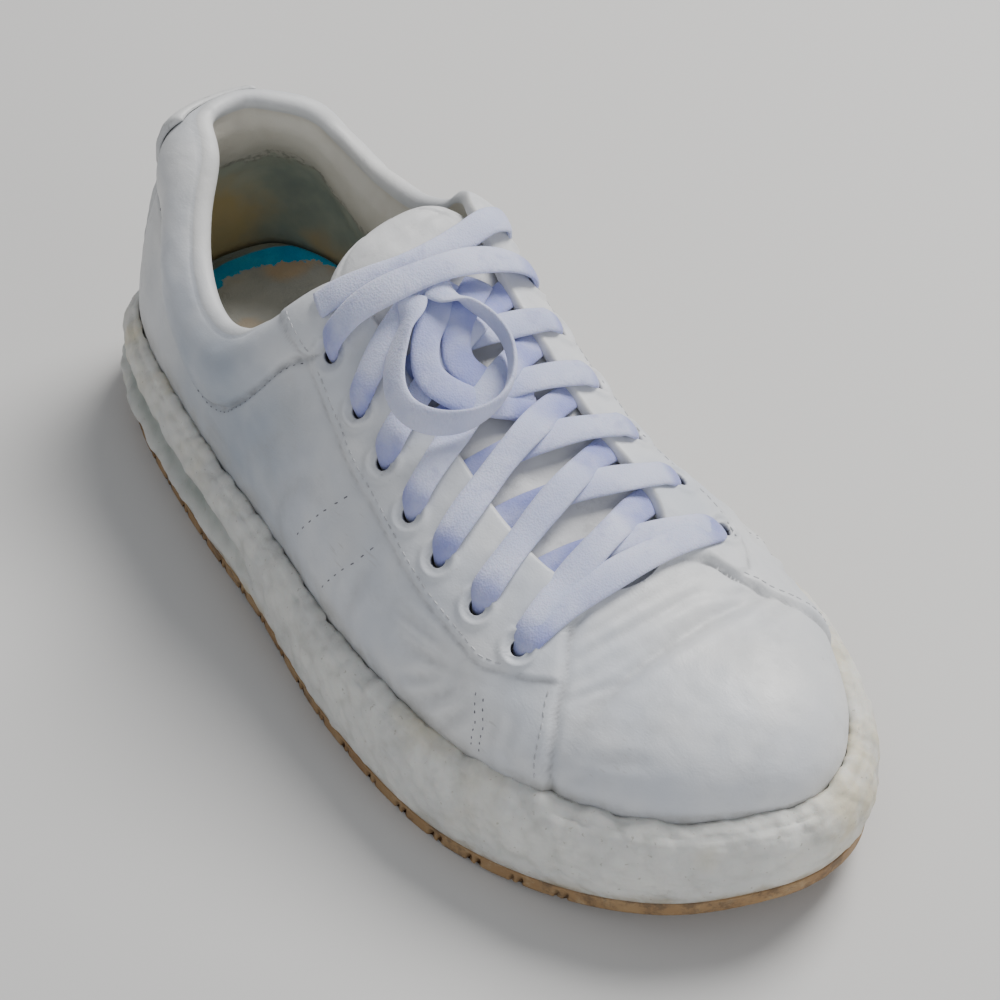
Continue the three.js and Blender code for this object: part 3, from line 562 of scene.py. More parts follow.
def upper_half(side, s):
    cut = cut_angle(s, side)
    outer = even_angles(s, side, cut, OUTER_ROWS)
    inner = even_angles(s, side, cut, INNER_ROWS)
    along = np.repeat(s[:, None], OUTER_ROWS, 1)
    skin = leather(along, side, outer)
    normal = normal_at(along, side, outer, 0)
    _, seam = relief(along, side, outer)
    flat = skin.reshape(-1, 3)
    change, shade = creased(flat)
    fade = smoothstep(0, 0.06, np.pi / 2 - outer)
    change = change.reshape(outer.shape) * fade + dents(flat).reshape(outer.shape) * fade
    skin = skin + normal * change[..., None]
    # lining
    along_in = np.repeat(s[:, None], INNER_ROWS, 1)
    down = below_rim(along_in, side, inner)
    swell = smoothstep(-1, 7, down) * (1 - smoothstep(12, 40, down))
    pad = COLLAR_PAD * padding(along_in) * (0.55 * (1 - smoothstep(12, 40, down)) + 0.45 * swell)
    into = normal_at(along_in, side, inner, WALL)
    lining = last(along_in, side, inner, WALL) - into * pad[..., None]
    folds = 0.5 * waves(lining, 13, 9) * smoothstep(14, 26, down) * (1 - smoothstep(34, 50, down))
    lining = lining - into * (np.maximum(folds, -0.2) * padding(along_in))[..., None]
    # rolled rim between the two
    top, under = skin[:, -1], lining[:, -1]
    centre, arm = (top + under) / 2, (top - under) / 2
    tangent = top - skin[:, -4]
    tangent -= arm * ((tangent * arm).sum(-1) / (arm * arm).sum(-1))[:, None]
    tangent = unit(tangent)
    reach = cap_rise(s) * np.clip((THROAT_END - s) / 3, 0, 1)
    phi = np.linspace(0, np.pi, CAP_ROWS + 2)[1:-1]
    cap = (centre[:, None] + arm[:, None] * np.cos(phi)[None, :, None]
           + tangent[:, None] * (reach[:, None] * np.sin(phi))[..., None])
    floor = feather_height(s) - DISH_DEPTH + GAP
    foot_out, foot_in = skin[:, :1].copy(), lining[:, :1].copy()
    foot_out[:, 0, 2] = floor
    foot_in[:, 0, 2] = floor
    ring = np.concatenate([foot_out, skin, cap, lining[:, ::-1], foot_in], 1)
    ones = np.ones((len(s), 1))

    def joined(foot, outside, rim, inner_side, last_row):
        cap_share = np.repeat(rim * ones, CAP_ROWS, 1)
        return np.concatenate([foot * ones, outside, cap_share, inner_side, last_row * ones], 1)

    attributes = {
        "inside": joined(0, np.zeros(outer.shape), 0.5, np.ones(inner.shape), 1),
        "down": joined(0.8, below_rim(along, side, outer) / 100, 0, down[:, ::-1] / 100, 0.8),
        "shade": joined(0, np.clip(shade.reshape(outer.shape), 0, 1), 0, np.zeros(inner.shape), 0),
        "seam": joined(0, seam, 0, np.zeros(inner.shape), 0),
        "low": joined(1, smoothstep(0.16, 0, np.pi / 2 - outer), 0, np.zeros(inner.shape), 1),
    }
    return ring, attributes


def build_upper():
    s = upper_stations()
    halves = [upper_half(side, s) for side in (-1, 1)]
    width = halves[0][0].shape[1]
    for row in (0, -1):
        mean = (halves[0][0][row] + halves[1][0][row]) / 2
        halves[0][0][row] = halves[1][0][row] = mean
    shut = s >= THROAT_END - 1e-6
    for column in (OUTER_ROWS, OUTER_ROWS + CAP_ROWS + 1):
        mean = (halves[0][0][shut, column] + halves[1][0][shut, column]) / 2
        halves[0][0][shut, column] = halves[1][0][shut, column] = mean
    faces = []
    for half in range(2):
        quads = grid_faces(len(s), width, wrap=True, first=half * len(s) * width)
        local = np.arange(len(quads)) % width
        row = np.arange(len(quads)) // width
        cap = (local >= OUTER_ROWS) & (local <= OUTER_ROWS + CAP_ROWS)
        quads = quads[~(cap & (s[row] >= THROAT_END - 1e-6))]
        faces.append(quads if half else quads[:, ::-1])
    points = np.concatenate([h[0].reshape(-1, 3) for h in halves])
    attributes = {k: np.concatenate([h[1][k].reshape(-1) for h in halves]) for k in halves[0][1]}
    attributes["hole"] = np.zeros(len(points))
    piece = mesh_object("upper_leather", points, np.concatenate(faces), attributes)
    punch(piece)
    return piece


# Metres: the hole, the leather that is pushed outwards to open it, and the first ring kept round it.
HOLE_RADIUS, HOLE_REACH, HOLE_INNER, HOLE_NEXT = 0.0023, 0.0062, 0.0018, 0.0026
HOLE_CORE, HOLE_TURN, HOLE_NEAR = 0.0014, 0.0014, 0.004


def punch(piece):
    """Opens the fourteen lace holes and turns their edges in."""
    work = bmesh.new()
    work.from_mesh(piece.data)
    work.verts.ensure_lookup_table()
    hole = work.verts.layers.float["hole"]
    inside = work.verts.layers.float["inside"]
    points = np.array([v.co[:] for v in work.verts])
    outer = np.array([v[inside] for v in work.verts]) < 0.25
    centres, outs = to_metres(EYELET_AT), EYELET_OUT * np.array([1, -1, 1])
    for centre, out in zip(centres, outs):
        gap = points - centre
        radius = np.linalg.norm(gap - (gap @ out)[:, None] * out, axis=1)
        close = np.flatnonzero(outer & (radius < HOLE_REACH) & (np.abs(gap @ out) < HOLE_NEAR))
        core = {i for i in close if radius[i] < HOLE_CORE}
        doomed = {f for i in core for f in work.verts[i].link_faces}
        edge = {v.index for f in doomed for v in f.verts} - core
        for i in close:
            if i in core:
                continue
            flat = gap[i] - (gap[i] @ out) * out
            r = radius[i]
            wide = HOLE_RADIUS
            if i not in edge:
                share = (r - HOLE_INNER) * (HOLE_REACH - HOLE_RADIUS) / (HOLE_REACH - HOLE_INNER)
                wide = max(HOLE_RADIUS + share, HOLE_NEXT)
            ring = (0.0008 * math.exp(-((wide - 0.0047) / 0.0008) ** 2)
                    - 0.0004 * math.exp(-((wide - 0.003) / 0.0006) ** 2))
            move = flat / r * (wide - r) + out * ring
            work.verts[i].co += Vector(move)
        bmesh.ops.delete(work, geom=list(doomed), context="FACES")
        off = lambda vert: np.array(vert.co[:]) - centre
        rim = [e for e in work.edges if e.is_boundary and off(e.verts[0]) @ off(e.verts[0]) < HOLE_NEAR ** 2]
        for _ in range(2):
            grown = bmesh.ops.extrude_edge_only(work, edges=rim)["geom"]
            new = [g for g in grown if isinstance(g, bmesh.types.BMVert)]
            for v in new:
                v.co -= Vector(out * HOLE_TURN)
                # The turned-in edges carry the hole mark, which paints them near black as shade inside the
                # hole.
                v[hole] = 1
            rim = [g for g in grown if isinstance(g, bmesh.types.BMEdge) and g.is_boundary]
        work.verts.ensure_lookup_table()
        points = np.array([v.co[:] for v in work.verts])
        outer = np.array([v[inside] for v in work.verts]) < 0.25
    loose = [v for v in work.verts if not v.link_faces]
    bmesh.ops.delete(work, geom=loose, context="VERTS")
    work.to_mesh(piece.data)
    work.free()


# ---- stitches -----------------------------------------------------------------------------------
def capsule():
    sides, rings = 6, (0, 0.55, 0.95, 0.95, 0.55, 0)
    xs = (-0.5, -0.46, -0.3, 0.3, 0.46, 0.5)
    points = [(x, r * 0.5 * math.cos(2 * math.pi * k / sides), r * 0.5 * math.sin(2 * math.pi * k / sides))
              for x, r in zip(xs, rings) for k in range(sides)]
    return np.array(points), grid_faces(len(xs), sides, wrap=True)


def stitches(lines):
    """lines: (points, outward directions, stitch length, pitch, width, lift)."""
    shape, shape_faces = capsule()
    points, faces = [], []
    for line, outs, length, pitch, width, lift in lines:
        run = run_along(line)
        for at in np.arange(pitch / 2, run[-1] - length / 2, pitch):
            at += rng.uniform(-0.08, 0.08) * pitch
            spot = np.array([np.interp(at, run, line[:, c]) for c in range(3)])
            ahead = np.array([np.interp(at + 0.6, run, line[:, c]) for c in range(3)])
            behind = np.array([np.interp(at - 0.6, run, line[:, c]) for c in range(3)])
            out = unit(np.array([np.interp(at, run, outs[:, c]) for c in range(3)]))
            along = unit(ahead - behind + unit(np.cross(out, ahead - behind)) * rng.uniform(-0.12, 0.12))
            across = unit(np.cross(out, along))
            local = shape * [length, width, width * 0.8]
            faces.append(shape_faces + sum(len(p) for p in points))
            points.append(spot + out * lift
                          + local[:, :1] * along + local[:, 1:2] * across + local[:, 2:] * out)
    return np.concatenate(points), np.concatenate(faces)


def on_upper(spots):
    """A line over the leather through (side, distance, degrees) spots, with outward directions."""
    parts, outs, flat = [], [], []
    for a, b in zip(spots[:-1], spots[1:]):
        for t in np.linspace(0, 1, 13)[:-1]:
            flat.append((a[0], a[1] + (b[1] - a[1]) * t, a[2] + (b[2] - a[2]) * t))
    flat.append(spots[-1])
    for side, s, degrees in flat:
        angle = math.radians(degrees)
        parts.append(leather(np.float64(s), side, np.float64(angle)))
        outs.append(normal_at(np.float64(s), side, np.float64(angle), 0))
    parts, outs = np.array(parts), np.array(outs)
    change, _ = creased(parts)
    parts = parts + outs * change[:, None] + outs * dents(parts)[:, None]
    return parts, outs


def stay_line(side, table, inset, s_from, s_to):
    return [(side, s, float(table(s)) - inset) for s in np.linspace(s_from, s_to, 22)]


def front_line(side, table, behind, low, high):
    return [(side, float(table(a)) - behind, a) for a in np.linspace(low, high, 14)]


def roll_line(side, table, s_from, s_to, offset):
    spots = []
    for s in np.linspace(s_from, s_to, 40):
        angles = np.linspace(float(cut_angle(s, side)), 1.55, 200)
        down = below_rim(s, side, angles)
        spots.append((side, s, math.degrees(np.interp(float(table(s)) + offset, down, angles))))
    return spots


PALE_STITCH = 1.7, 2.7, 0.5, 0.02  # length, pitch, width, lift


def build_stitches():
    pale, dark = [], []
    for side, stay, front, roll in ((-1, STAY_LATERAL, FRONT_LATERAL, ROLL_LATERAL),
                                    (1, STAY_MEDIAL, FRONT_MEDIAL, ROLL_MEDIAL)):
        pale.append((*on_upper(stay_line(side, stay, 2.0, 106, 222)), *PALE_STITCH))
        pale.append((*on_upper(front_line(side, front, 2.6, 44 if side < 0 else 32, 85)), *PALE_STITCH))
        # The dark rows are near-black dashes sunk into the leather, painted shade for the stitch holes.
        dark.append((*on_upper(roll_line(side, roll, 20, 120, 1.6)), 1.0, 3.0, 0.42, -0.08))
        double = [(side, 216.5, 61), (side, 220.5, 72), (side, 221.5, 87)]
        for shift in (-1.3, 1.3):
            dark.append((*on_upper([(a, b + shift, c) for a, b, c in double]), 0.9, 2.4, 0.5, -0.08))
        for row in ([(154, 53), (148.5, 62), (142.5, 71), (137.5, 79)],
                    [(169, 55), (164.5, 65), (157.5, 76), (151.5, 86)]):
            dark.append((*on_upper([(side, s, a) for s, a in row]), 1.5, 4.6, 0.45, -0.05))
    points, faces = stitches(pale)
    light_piece = mesh_object("stitching", points, faces, merge=0)
    points, faces = stitches(dark)
    dark_piece = mesh_object("stitch_holes", points, faces, merge=0)
    return light_piece, dark_piece


# ---- heel tab -----------------------------------------------------------------------------------
TAB_LOW, TAB_HIGH = 44, 94.5


def build_heel_tab():
    offsets = np.array([3.4, 3.0, 2.5, 1.9, 1.4, 1.0, 0.7, 0.45, 0.25, 0.1])
    columns = [(START + d, -1) for d in offsets] + [(START, 1)] + [(START + d, 1) for d in offsets[::-1]]
    heights = np.linspace(TAB_LOW, TAB_HIGH, 64)
    outside, inside = [], []
    for k, (s, side) in enumerate(columns):
        n = roundness(s, side)
        up = (heights - feather_height(s)) / (full_height(s) - feather_height(s))
        angle = np.arccos(np.clip(up, 0, 1) ** (n / 2))
        down = below_rim(s, side, angle)
        puff = 2.2 * np.sin(np.pi * np.clip(down / 25, 0, 1))
        base = last(s, side, angle, 0)
        out = normal_at(np.full(angle.shape, s), side, angle, 0)
        height, _ = relief(np.full(angle.shape, s), side, angle)
        height = np.maximum(height, 0)
        edge = min(k, len(columns) - 1 - k)
        rounded = 1 - 0.75 * max(0, 1 - edge / 2) ** 2
        ends = (1 - 0.6 * np.exp(-((heights - TAB_LOW) / 0.9) ** 2)
                - 0.5 * np.exp(-((heights - TAB_HIGH) / 1.2) ** 2))
        worn = 0.25 * waves(base, 17, 21) + 0.12 * waves(base, 5, 22)
        thick = 2.1 * rounded * ends + worn * 0.7
        inside.append(base + out * (puff + height + 0.1)[:, None])
        outside.append(base + out * (puff + height + 0.35 + thick)[:, None])
    outside, inside = np.array(outside), np.array(inside)
    for a in (outside, inside):
        a[0] += (a[0] - a[1]) * 0.1
    ring = np.concatenate([outside, inside[::-1]], 0).transpose(1, 0, 2)
    rows, width = ring.shape[:2]
    return mesh_object("heel_patch", ring.reshape(-1, 3), folded_faces(rows, width))


# ---- midsole ------------------------------------------------------------------------------------
WALL_PROFILE = curve([(0, 1.4), (.12, .6), (.3, .1), (.45, 0), (.65, .4), (.8, 1.3), (.92, 3), (1, 5.2)])


def pellets(points, size, seed):
    """Distance to the nearest of a jittered set of points, about one cell apart, and that cell's draw."""
    p = points / size
    cell = np.floor(p)
    best, draw = np.full(len(p), 9.0), np.zeros(len(p))
    for dx in (-1, 0, 1):
        for dy in (-1, 0, 1):
            for dz in (-1, 0, 1):
                c = cell + [dx, dy, dz]
                key = c @ [12.9898, 78.233, 37.719] + seed
                jitter = np.stack([np.sin(key) * 43758.5, np.sin(key + 1.3) * 24634.6,
                                   np.sin(key + 2.7) * 35412.2], -1) % 1
                gap = np.linalg.norm(c + jitter - p, axis=1)
                closer = gap < best
                best, draw = np.where(closer, gap, best), np.where(closer, jitter[:, 0], draw)
    return best, draw


def loop_at(c, height, fractions):
    s = c.start + (c.end - c.start) * fractions
    lateral = np.stack([c.at(-1, s), s, height(s)], -1)
    medial = np.stack([c.at(1, s), s, height(s)], -1)[1:-1][::-1]
    return np.concatenate([lateral, medial])


def even_fractions(count):
    """Shares of the length that step evenly round the outline."""
    grid = np.linspace(0, 1, 3000)
    c = outline_at(1.2)
    at = c.start + (c.end - c.start) * (1 - np.cos(np.pi * grid)) / 2
    run = np.concatenate([[0], np.cumsum(np.hypot(np.diff(c.at(-1, at)), np.diff(at)))])
    u = np.interp(np.linspace(0, run[-1], count), run, grid)
    return (1 - np.cos(np.pi * u)) / 2


def ladder(first, total, count):
    medial = lambda i: first + (total - i) % total
    return [[first + i, first + i + 1, medial(i + 1), medial(i)] for i in range(count)]


def stack_faces(rows, total, count):
    """Faces of a stack of loops, closed at both ends."""
    faces = list(grid_faces(rows, total, wrap=True)) + ladder(0, total, count)
    return faces + [f[::-1] for f in ladder((rows - 1) * total, total, count)]


def build_midsole():
    fractions = even_fractions(400)
    levels = np.concatenate([np.linspace(0, 0.8, 30), np.linspace(0.8, 1, 11)[1:]])
    under = lambda s: rise(s) + OUTSOLE_THICK + GAP
    edge = lambda s: feather_height(s) - 1.2
    loops = []
    for f in levels:
        bead = math.exp(-((f - 0.53) / 0.15) ** 2), math.exp(-((f - 0.26) / 0.07) ** 2)

        def depth(s, side, f=f, bead=bead):
            along = 1 - smoothstep(78, 132, s)
            wander = 1 + 0.12 * np.sin(s / 13.0) * smoothstep(20, 60, s)
            ragged = 0.8 + 0.25 * np.sin(s / 2.3 + 1) * np.sin(s / 10.7)
            share = (1 if side < 0 else 0.4) * along
            return WALL_PROFILE(f) + share * (3.0 * wander * bead[0] - 1.4 * ragged * bead[1])
        loops.append(loop_at(Contour(depth), lambda s, f=f: under(s) * (1 - f) + edge(s) * f, fractions))
    dish = Contour(lambda s, side: inset(s, side) - GAP)
    wall = len(loops)
    brink = loop_at(dish, lambda s: feather_height(s) - 0.6, fractions)
    for t in (0.34, 0.67):
        loops.append(loops[wall - 1] * (1 - t) + brink * t + [0, 0, 0.35])
    loops.append(brink)
    loops.append(loop_at(dish, lambda s: feather_height(s) - DISH_DEPTH, fractions))
    total = len(loops[0])
    rows = np.array(loops)
    flat = rows.reshape(-1, 3)
    ring_tangent = np.roll(rows, -1, 1) - np.roll(rows, 1, 1)
    up = np.gradient(rows, axis=0)
    out = unit(np.cross(ring_tangent, up))
    sign = np.sign(((rows - rows.mean(1, keepdims=True)) * out * [1, 1, 0]).sum(-1).mean())
    out = out * (sign if sign else 1)
    near, draw = pellets(flat, 5.2, 3.0)
    small, _ = pellets(flat, 2.3, 8.0)
    lumps = 0.75 * (1 - near) + 0.3 * (draw - 0.5) + 0.36 * (0.6 - small) + 0.2 * waves(flat, 9, 5)
    level = np.repeat(np.arange(len(rows)), total)
    keep = smoothstep(0, 3, level) * (level <= wall + 2)
    lumps = lumps * keep * np.where(level > wall - 6, 1.35, 1)
    flat = flat + out.reshape(-1, 3) * (lumps - 0.25 * keep)[:, None]
    flat[:, 2] += np.where((level > wall - 3) & (level <= wall + 2),
                           0.45 * waves(flat, 8, 6) + 0.2 * waves(flat, 3, 16), 0)
    faces = stack_faces(len(rows), total, len(fractions) - 1)
    height = np.concatenate([levels, np.ones(len(rows) - wall)])[level.astype(int)]
    # Painted shade: the heel's side groove is darkened, less on the medial side, and the bottom of the wall a
    # little.
    groove_shade = np.maximum(np.exp(-((height - 0.48) / 0.16) ** 2), 0.4 * (1 - smoothstep(0.12, 0.22, height)))
    groove_shade *= (1 - smoothstep(78, 132, flat[:, 1])) * np.where(flat[:, 0] < 0, 1, 0.4)
    # The first share paints shade into the gaps between the pellets.
    attributes = {"cleft_shade": np.clip(smoothstep(0.45, 0.95, near) * keep, 0, 1),
                  "tall": np.clip(level / (wall - 1), 0, 1),
                  "groove_shade": groove_shade}
    return mesh_object("midsole_foam", flat, faces, attributes)


# ---- outsole ------------------------------------------------------------------------------------
STRIP_START, STRIP_END, STRIP_WIDTH = np.array([1.0, 16.0]), np.array([-12.0, 150.0]), 17.0
STRIP_LOW, STRIP_HIGH, POCKET_DEPTH = 0.62, 1.55, 1.9  # above the tread's lowest face
STRIP_LENGTH = np.linalg.norm(STRIP_END - STRIP_START)
STRIP_ALONG = (STRIP_END - STRIP_START) / STRIP_LENGTH
STRIP_ACROSS = np.array([STRIP_START[1] - STRIP_END[1], STRIP_END[0] - STRIP_START[0]]) / STRIP_LENGTH
OUTSOLE_EDGE = outline_at(1.2)


def edge_line():
    fractions = even_fractions(700)
    c = OUTSOLE_EDGE
    s = c.start + (c.end - c.start) * fractions
    lateral, medial = np.stack([c.at(-1, s), s], -1), np.stack([c.at(1, s), s], -1)[1:-1][::-1]
    line = np.concatenate([lateral, medial])
    return line, run_along(line)


EDGE_LINE, EDGE_RUN = edge_line()


BLOCK_PITCH = 13.2  # of the border's blocks


def pulse(value, centre, half, soft=0.18):
    off = value - centre
    return smoothstep(-half - soft, -half + soft, off) * (1 - smoothstep(half - soft, half + soft, off))


def tread(x, s):
    """Depth of the tread above the ground contact, and a colour share of painted shade for the recessed
    parts.
    """
    flat = np.stack([x, s], -1).reshape(-1, 2)
    inwards, around = np.zeros(len(flat)), np.zeros(len(flat))
    for at in range(0, len(flat), 3000):
        gap = np.linalg.norm(flat[at:at + 3000, None] - EDGE_LINE[None], axis=-1)
        best = gap.argmin(1)
        inwards[at:at + 3000] = gap[np.arange(len(best)), best]
        around[at:at + 3000] = EDGE_RUN[best]
    inwards, around = inwards.reshape(x.shape), around.reshape(x.shape)
    phase = np.mod(around + 2, BLOCK_PITCH)
    slit = np.maximum(pulse(phase, 5.3, 0.62), pulse(phase, 8.1, 0.62))
    toe = smoothstep(252, 262, s)
    many = pulse(np.mod(around, 3.3), 1.6, 0.5) * pulse(np.mod(around, 2 * BLOCK_PITCH), BLOCK_PITCH, 8.6)
    slit = slit * (1 - toe) + np.where(inwards > 3.2, many, 0) * toe
    ring = slit * smoothstep(-1, 0.2, inwards) * (1 - smoothstep(13.6, 14.1, inwards))
    border = pulse(inwards, 14.6, 0.55)
    ragged = 0.35 * waves(np.stack([x, s, 0 * x], -1), 9, 31)
    t = np.mod(s + 0.1 * x + ragged + 3, 10.4)
    wide = pulse(t, 3.4, 3.0, 0.3)
    thin = pulse(t, 8.6, 0.45)
    field = np.maximum(wide, thin) * smoothstep(15.0, 15.5, inwards)
    depth = np.maximum.reduce([1.3 * ring, 1.1 * border, 1.3 * field])
    hatch = 0.07 * np.sin((x + s) * 2.6) * (1 - field) * (1 - ring)
    rel = np.stack([x, s], -1) - STRIP_START
    run, off = rel @ STRIP_ALONG, np.abs(rel @ STRIP_ACROSS)
    pocket = (smoothstep(-0.7, -0.3, run) * (1 - smoothstep(STRIP_LENGTH + 0.3, STRIP_LENGTH + 0.7, run))
              * (1 - smoothstep(STRIP_WIDTH / 2 + 0.25, STRIP_WIDTH / 2 + 0.6, off)))
    depth = depth * (1 - pocket) + POCKET_DEPTH * pocket
    return depth, hatch * (1 - pocket), np.maximum(ring, np.maximum(field, border))


def build_outsole():
    c = OUTSOLE_EDGE
    even = np.linspace(0, 1, 431)
    s = c.start + (c.end - c.start) * (0.86 * even + 0.14 * (1 - np.cos(np.pi * even)) / 2)
    xl, xm = c.at(-1, s), c.at(1, s)
    u = np.linspace(0, 1, 104)
    x = xl[:, None] + (xm - xl)[:, None] * u
    ss = np.repeat(s[:, None], len(u), 1)
    depth, hatch, recess = tread(x, ss)
    grime = 0.06 * waves(np.stack([x, ss, 0 * x], -1), 4, 33)
    z = rise(ss) + depth + np.maximum(0, hatch + grime)
    bottom = np.stack([x, ss, z], -1)
    side_cut, notch_shade = [], []
    levels = np.array([0.5, 1.6, 2.6, 3.6, OUTSOLE_THICK])
    for column, sign, xs in ((-1, 1, xm), (0, -1, xl)):
        notch = recess[:, column]
        band, dark = [], []
        for z0 in levels if column == -1 else levels[::-1]:
            dirt = 0.16 * waves(np.stack([xs, s, np.full(s.shape, z0)], -1), 5, 41)
            cut = 1.3 * notch * (1 - smoothstep(1.6, 3.4, z0))
            # Painted shade in the notch slits, fading out towards the top of the band.
            dark.append(notch * (1 - smoothstep(1.6, 3.4, z0)))
            tip = np.clip((xm - xl) / 12, 0, 1)
            band.append(np.stack([xs - sign * (cut + np.clip(dirt, 0, 0.4)) * tip, s, rise(s)
                                  + np.maximum(z0, depth[:, column] * (z0 < 1))], -1))
        side_cut.append(np.stack(band, 1))
        notch_shade.append(np.stack(dark, 1))
    top = np.stack([xm[:, None] + (xl - xm)[:, None] * np.linspace(0, 1, 5)[1:-1],
                    np.repeat(s[:, None], 3, 1), np.repeat((rise(s) + OUTSOLE_THICK)[:, None], 3, 1)], -1)
    ring = np.concatenate([bottom, side_cut[0], top, side_cut[1]], 1)
    shares = np.concatenate([recess, notch_shade[0], np.zeros((len(s), 3)), notch_shade[1]], 1)
    width = ring.shape[1]
    return mesh_object("outsole_rubber_tread", ring.reshape(-1, 3), grid_faces(len(s), width, wrap=True),
                       {"recess": shares.reshape(-1)})


def build_strip():
    a, b = np.meshgrid(np.linspace(0, STRIP_LENGTH, 190), np.linspace(-STRIP_WIDTH / 2, STRIP_WIDTH / 2, 27),
                       indexing="ij")
    spot = STRIP_START + a[..., None] * STRIP_ALONG + b[..., None] * STRIP_ACROSS
    p = np.stack([spot[..., 0], spot[..., 1], 0 * a], -1)
    edge = np.minimum(np.minimum(a, STRIP_LENGTH - a), STRIP_WIDTH / 2 - np.abs(b))
    curl = 0.35 * (1 - smoothstep(0, 1.0, edge))
    low = rise(spot[..., 1]) + STRIP_LOW + 0.12 * waves(p, 6, 51) + 0.1 * waves(p, 2.4, 52) + curl
    high = rise(spot[..., 1]) + STRIP_HIGH
    bottom, top = p.copy(), p.copy()
    bottom[..., 2], top[..., 2] = np.minimum(low, high - 0.2), high
    ring = np.concatenate([bottom, top[:, ::-1]], 1)
    rows, width = ring.shape[:2]
    return mesh_object("tread_strip", ring.reshape(-1, 3), folded_faces(rows, width))


# ---- insole and tongue --------------------------------------------------------------------------
INSOLE_EDGE, INSOLE_TOP = 3.2, 4.2
SEAT_X, SEAT_S, SEAT_RADIUS = 5, 48, 26.5  # the heel seat, where the cover has lasted


def build_insole():
    fractions = even_fractions(150)
    base = lambda s: feather_height(s) - DISH_DEPTH + GAP
    loops = [loop_at(shell(WALL + 0.7), base, fractions)]
    loops.append(loop_at(shell(WALL + 0.7), lambda s: base(s) + INSOLE_EDGE, fractions))
    rim = loop_at(shell(WALL + 1.9), lambda s: base(s) + INSOLE_TOP, fractions)
    loops.append(rim)
    total = len(rim)
    middle = np.array([(rim[i] + rim[(total - i) % total]) / 2 for i in range(total)])
    for t in np.linspace(0, 1, 26)[1:-1]:
        row = rim * (1 - t) + middle * t
        sag = 0.9 * smoothstep(0, 0.5, t) * (1 - smoothstep(60, 110, row[:, 1]))
        row[:, 2] = base(row[:, 1]) + INSOLE_TOP - sag
        from_seat = np.hypot(row[:, 0] - SEAT_X, row[:, 1] - SEAT_S)
        cover = 0.45 * smoothstep(-0.4, 0.4, SEAT_RADIUS + 1.6 * waves(row, 7, 61) - from_seat)
        row[:, 2] += cover + 0.1 * waves(row, 6, 62)
        loops.append(row)
    rows = np.array(loops)
    return mesh_object("insole_cover", rows.reshape(-1, 3), stack_faces(len(rows), total, len(fractions) - 1))


def build_tongue():
    left = curve([(106, -7), (106.8, -12), (108.5, -16.5), (112, -21), (118, -25.5), (126, -29), (160, -31),
                  (228, -26)])
    right = curve([(106, 10), (106.8, 15), (108.5, 19), (112, 22.5), (118, 25), (126, 26.5), (160, 27),
                   (228, 26)])
    thick = curve([(106, 4.2), (116, 4.6), (150, 3.6), (228, 2.6)])
    s = np.concatenate([106 + 4 * np.linspace(0, 1, 9) ** 2, np.arange(111, 226, 1.1), [227, 228]])
    u = (1 - np.cos(np.pi * np.linspace(0, 1, 48))) / 2
    top, under = [], []
    for at in s:
        x = left(at) + (right(at) - left(at)) * u
        end = min(1, 0.3 + 0.7 * math.sqrt(max(0, 1 - max(0, (110 - at) / 4) ** 2)))
        if at >= 226:
            end = end * 0.5
        edge = np.minimum(1, np.sqrt(np.clip(np.minimum(u, 1 - u) * 9, 0, 1)) + 0.15) * end
        z = height_over(x, at, WALL + 0.8)
        t = thick(at) * edge
        mid = z - 0.25 * (thick(at) - t)
        p = np.stack([x, np.full(x.shape, at), mid], -1)
        bulge = 0.35 * waves(p, 15, 71) + 0.12 * waves(p, 5, 72)
        seam = -0.7 * np.exp(-((np.minimum(u, 1 - u) * (right(at) - left(at)) - 4.5) / 0.8) ** 2)
        seam = seam - 0.7 * math.exp(-((at - 111.5) / 0.9) ** 2)
        p[:, 2] = mid + bulge * edge + seam * edge
        q = p.copy()
        q[:, 2] = mid - t
        top.append(p)
        under.append(q[::-1])
    ring = np.concatenate([np.array(top), np.array(under)], 1)
    rows, width = ring.shape[:2]
    return mesh_object("tongue_pad", ring.reshape(-1, 3), folded_faces(rows, width))


# ---- laces --------------------------------------------------------------------------------------
LACE_WIDTH, LACE_THICK, LACE_SECTION = 8.0, 1.7, 16


def band_mesh(path, outs, widths=None, thicks=None):
    """A soft flat band along path; outs are the directions that its flat face looks in."""
    path = np.asarray(path, float)
    tangent = unit(np.gradient(path, axis=0))
    outs = unit(outs - tangent * (outs * tangent).sum(-1, keepdims=True))
    across = np.cross(tangent, outs)
    phi = 2 * np.pi * np.arange(LACE_SECTION) / LACE_SECTION
    co, si = np.cos(phi), np.sin(phi)
    profile_w = np.sign(co) * np.abs(co) ** 0.75
    profile_t = np.sign(si) * np.abs(si) ** 0.8
    widths = np.full(len(path), LACE_WIDTH) if widths is None else widths
    thicks = np.full(len(path), LACE_THICK) if thicks is None else thicks
    ring = (path[:, None] + across[:, None] * (profile_w[None] * widths[:, None] / 2)[..., None]
            + outs[:, None] * (profile_t[None] * thicks[:, None] / 2)[..., None])
    cup = (profile_w ** 2)[None] * 0.5 * (widths[:, None] / LACE_WIDTH)
    return ring - outs[:, None] * cup[..., None] * 0.6


def over_last(x, s):
    """Point and outward direction of the plain leather over a spot across and along."""
    side = -1 if x < float(ridge_across(s)) else 1
    angle = eyelet_angle(x, s, side)
    out = normal_at(np.float64(s), side, np.float64(max(angle, 0.03)), 0)
    return last(np.float64(s), side, np.float64(angle), 0), out


def lace_route(spots):
    """spots: (across, distance, lift above the leather)."""
    points, outs = [], []
    for x, s, lift in spots:
        point, out = over_last(x, s)
        points.append(point + out * lift)
        outs.append(out)
    return np.array(points), np.array(outs)


def band_line(spots):
    """Middle line of a band through the spots, with its outward directions and tangents."""
    points, outs = lace_route(spots)
    path = resample(open_curve(points, 16), 1.0)
    share = np.linspace(0, len(points) - 1, len(path))
    out = unit(np.stack([np.interp(share, np.arange(len(points)), outs[:, c]) for c in range(3)], -1))
    return path, out, unit(np.gradient(path, axis=0))


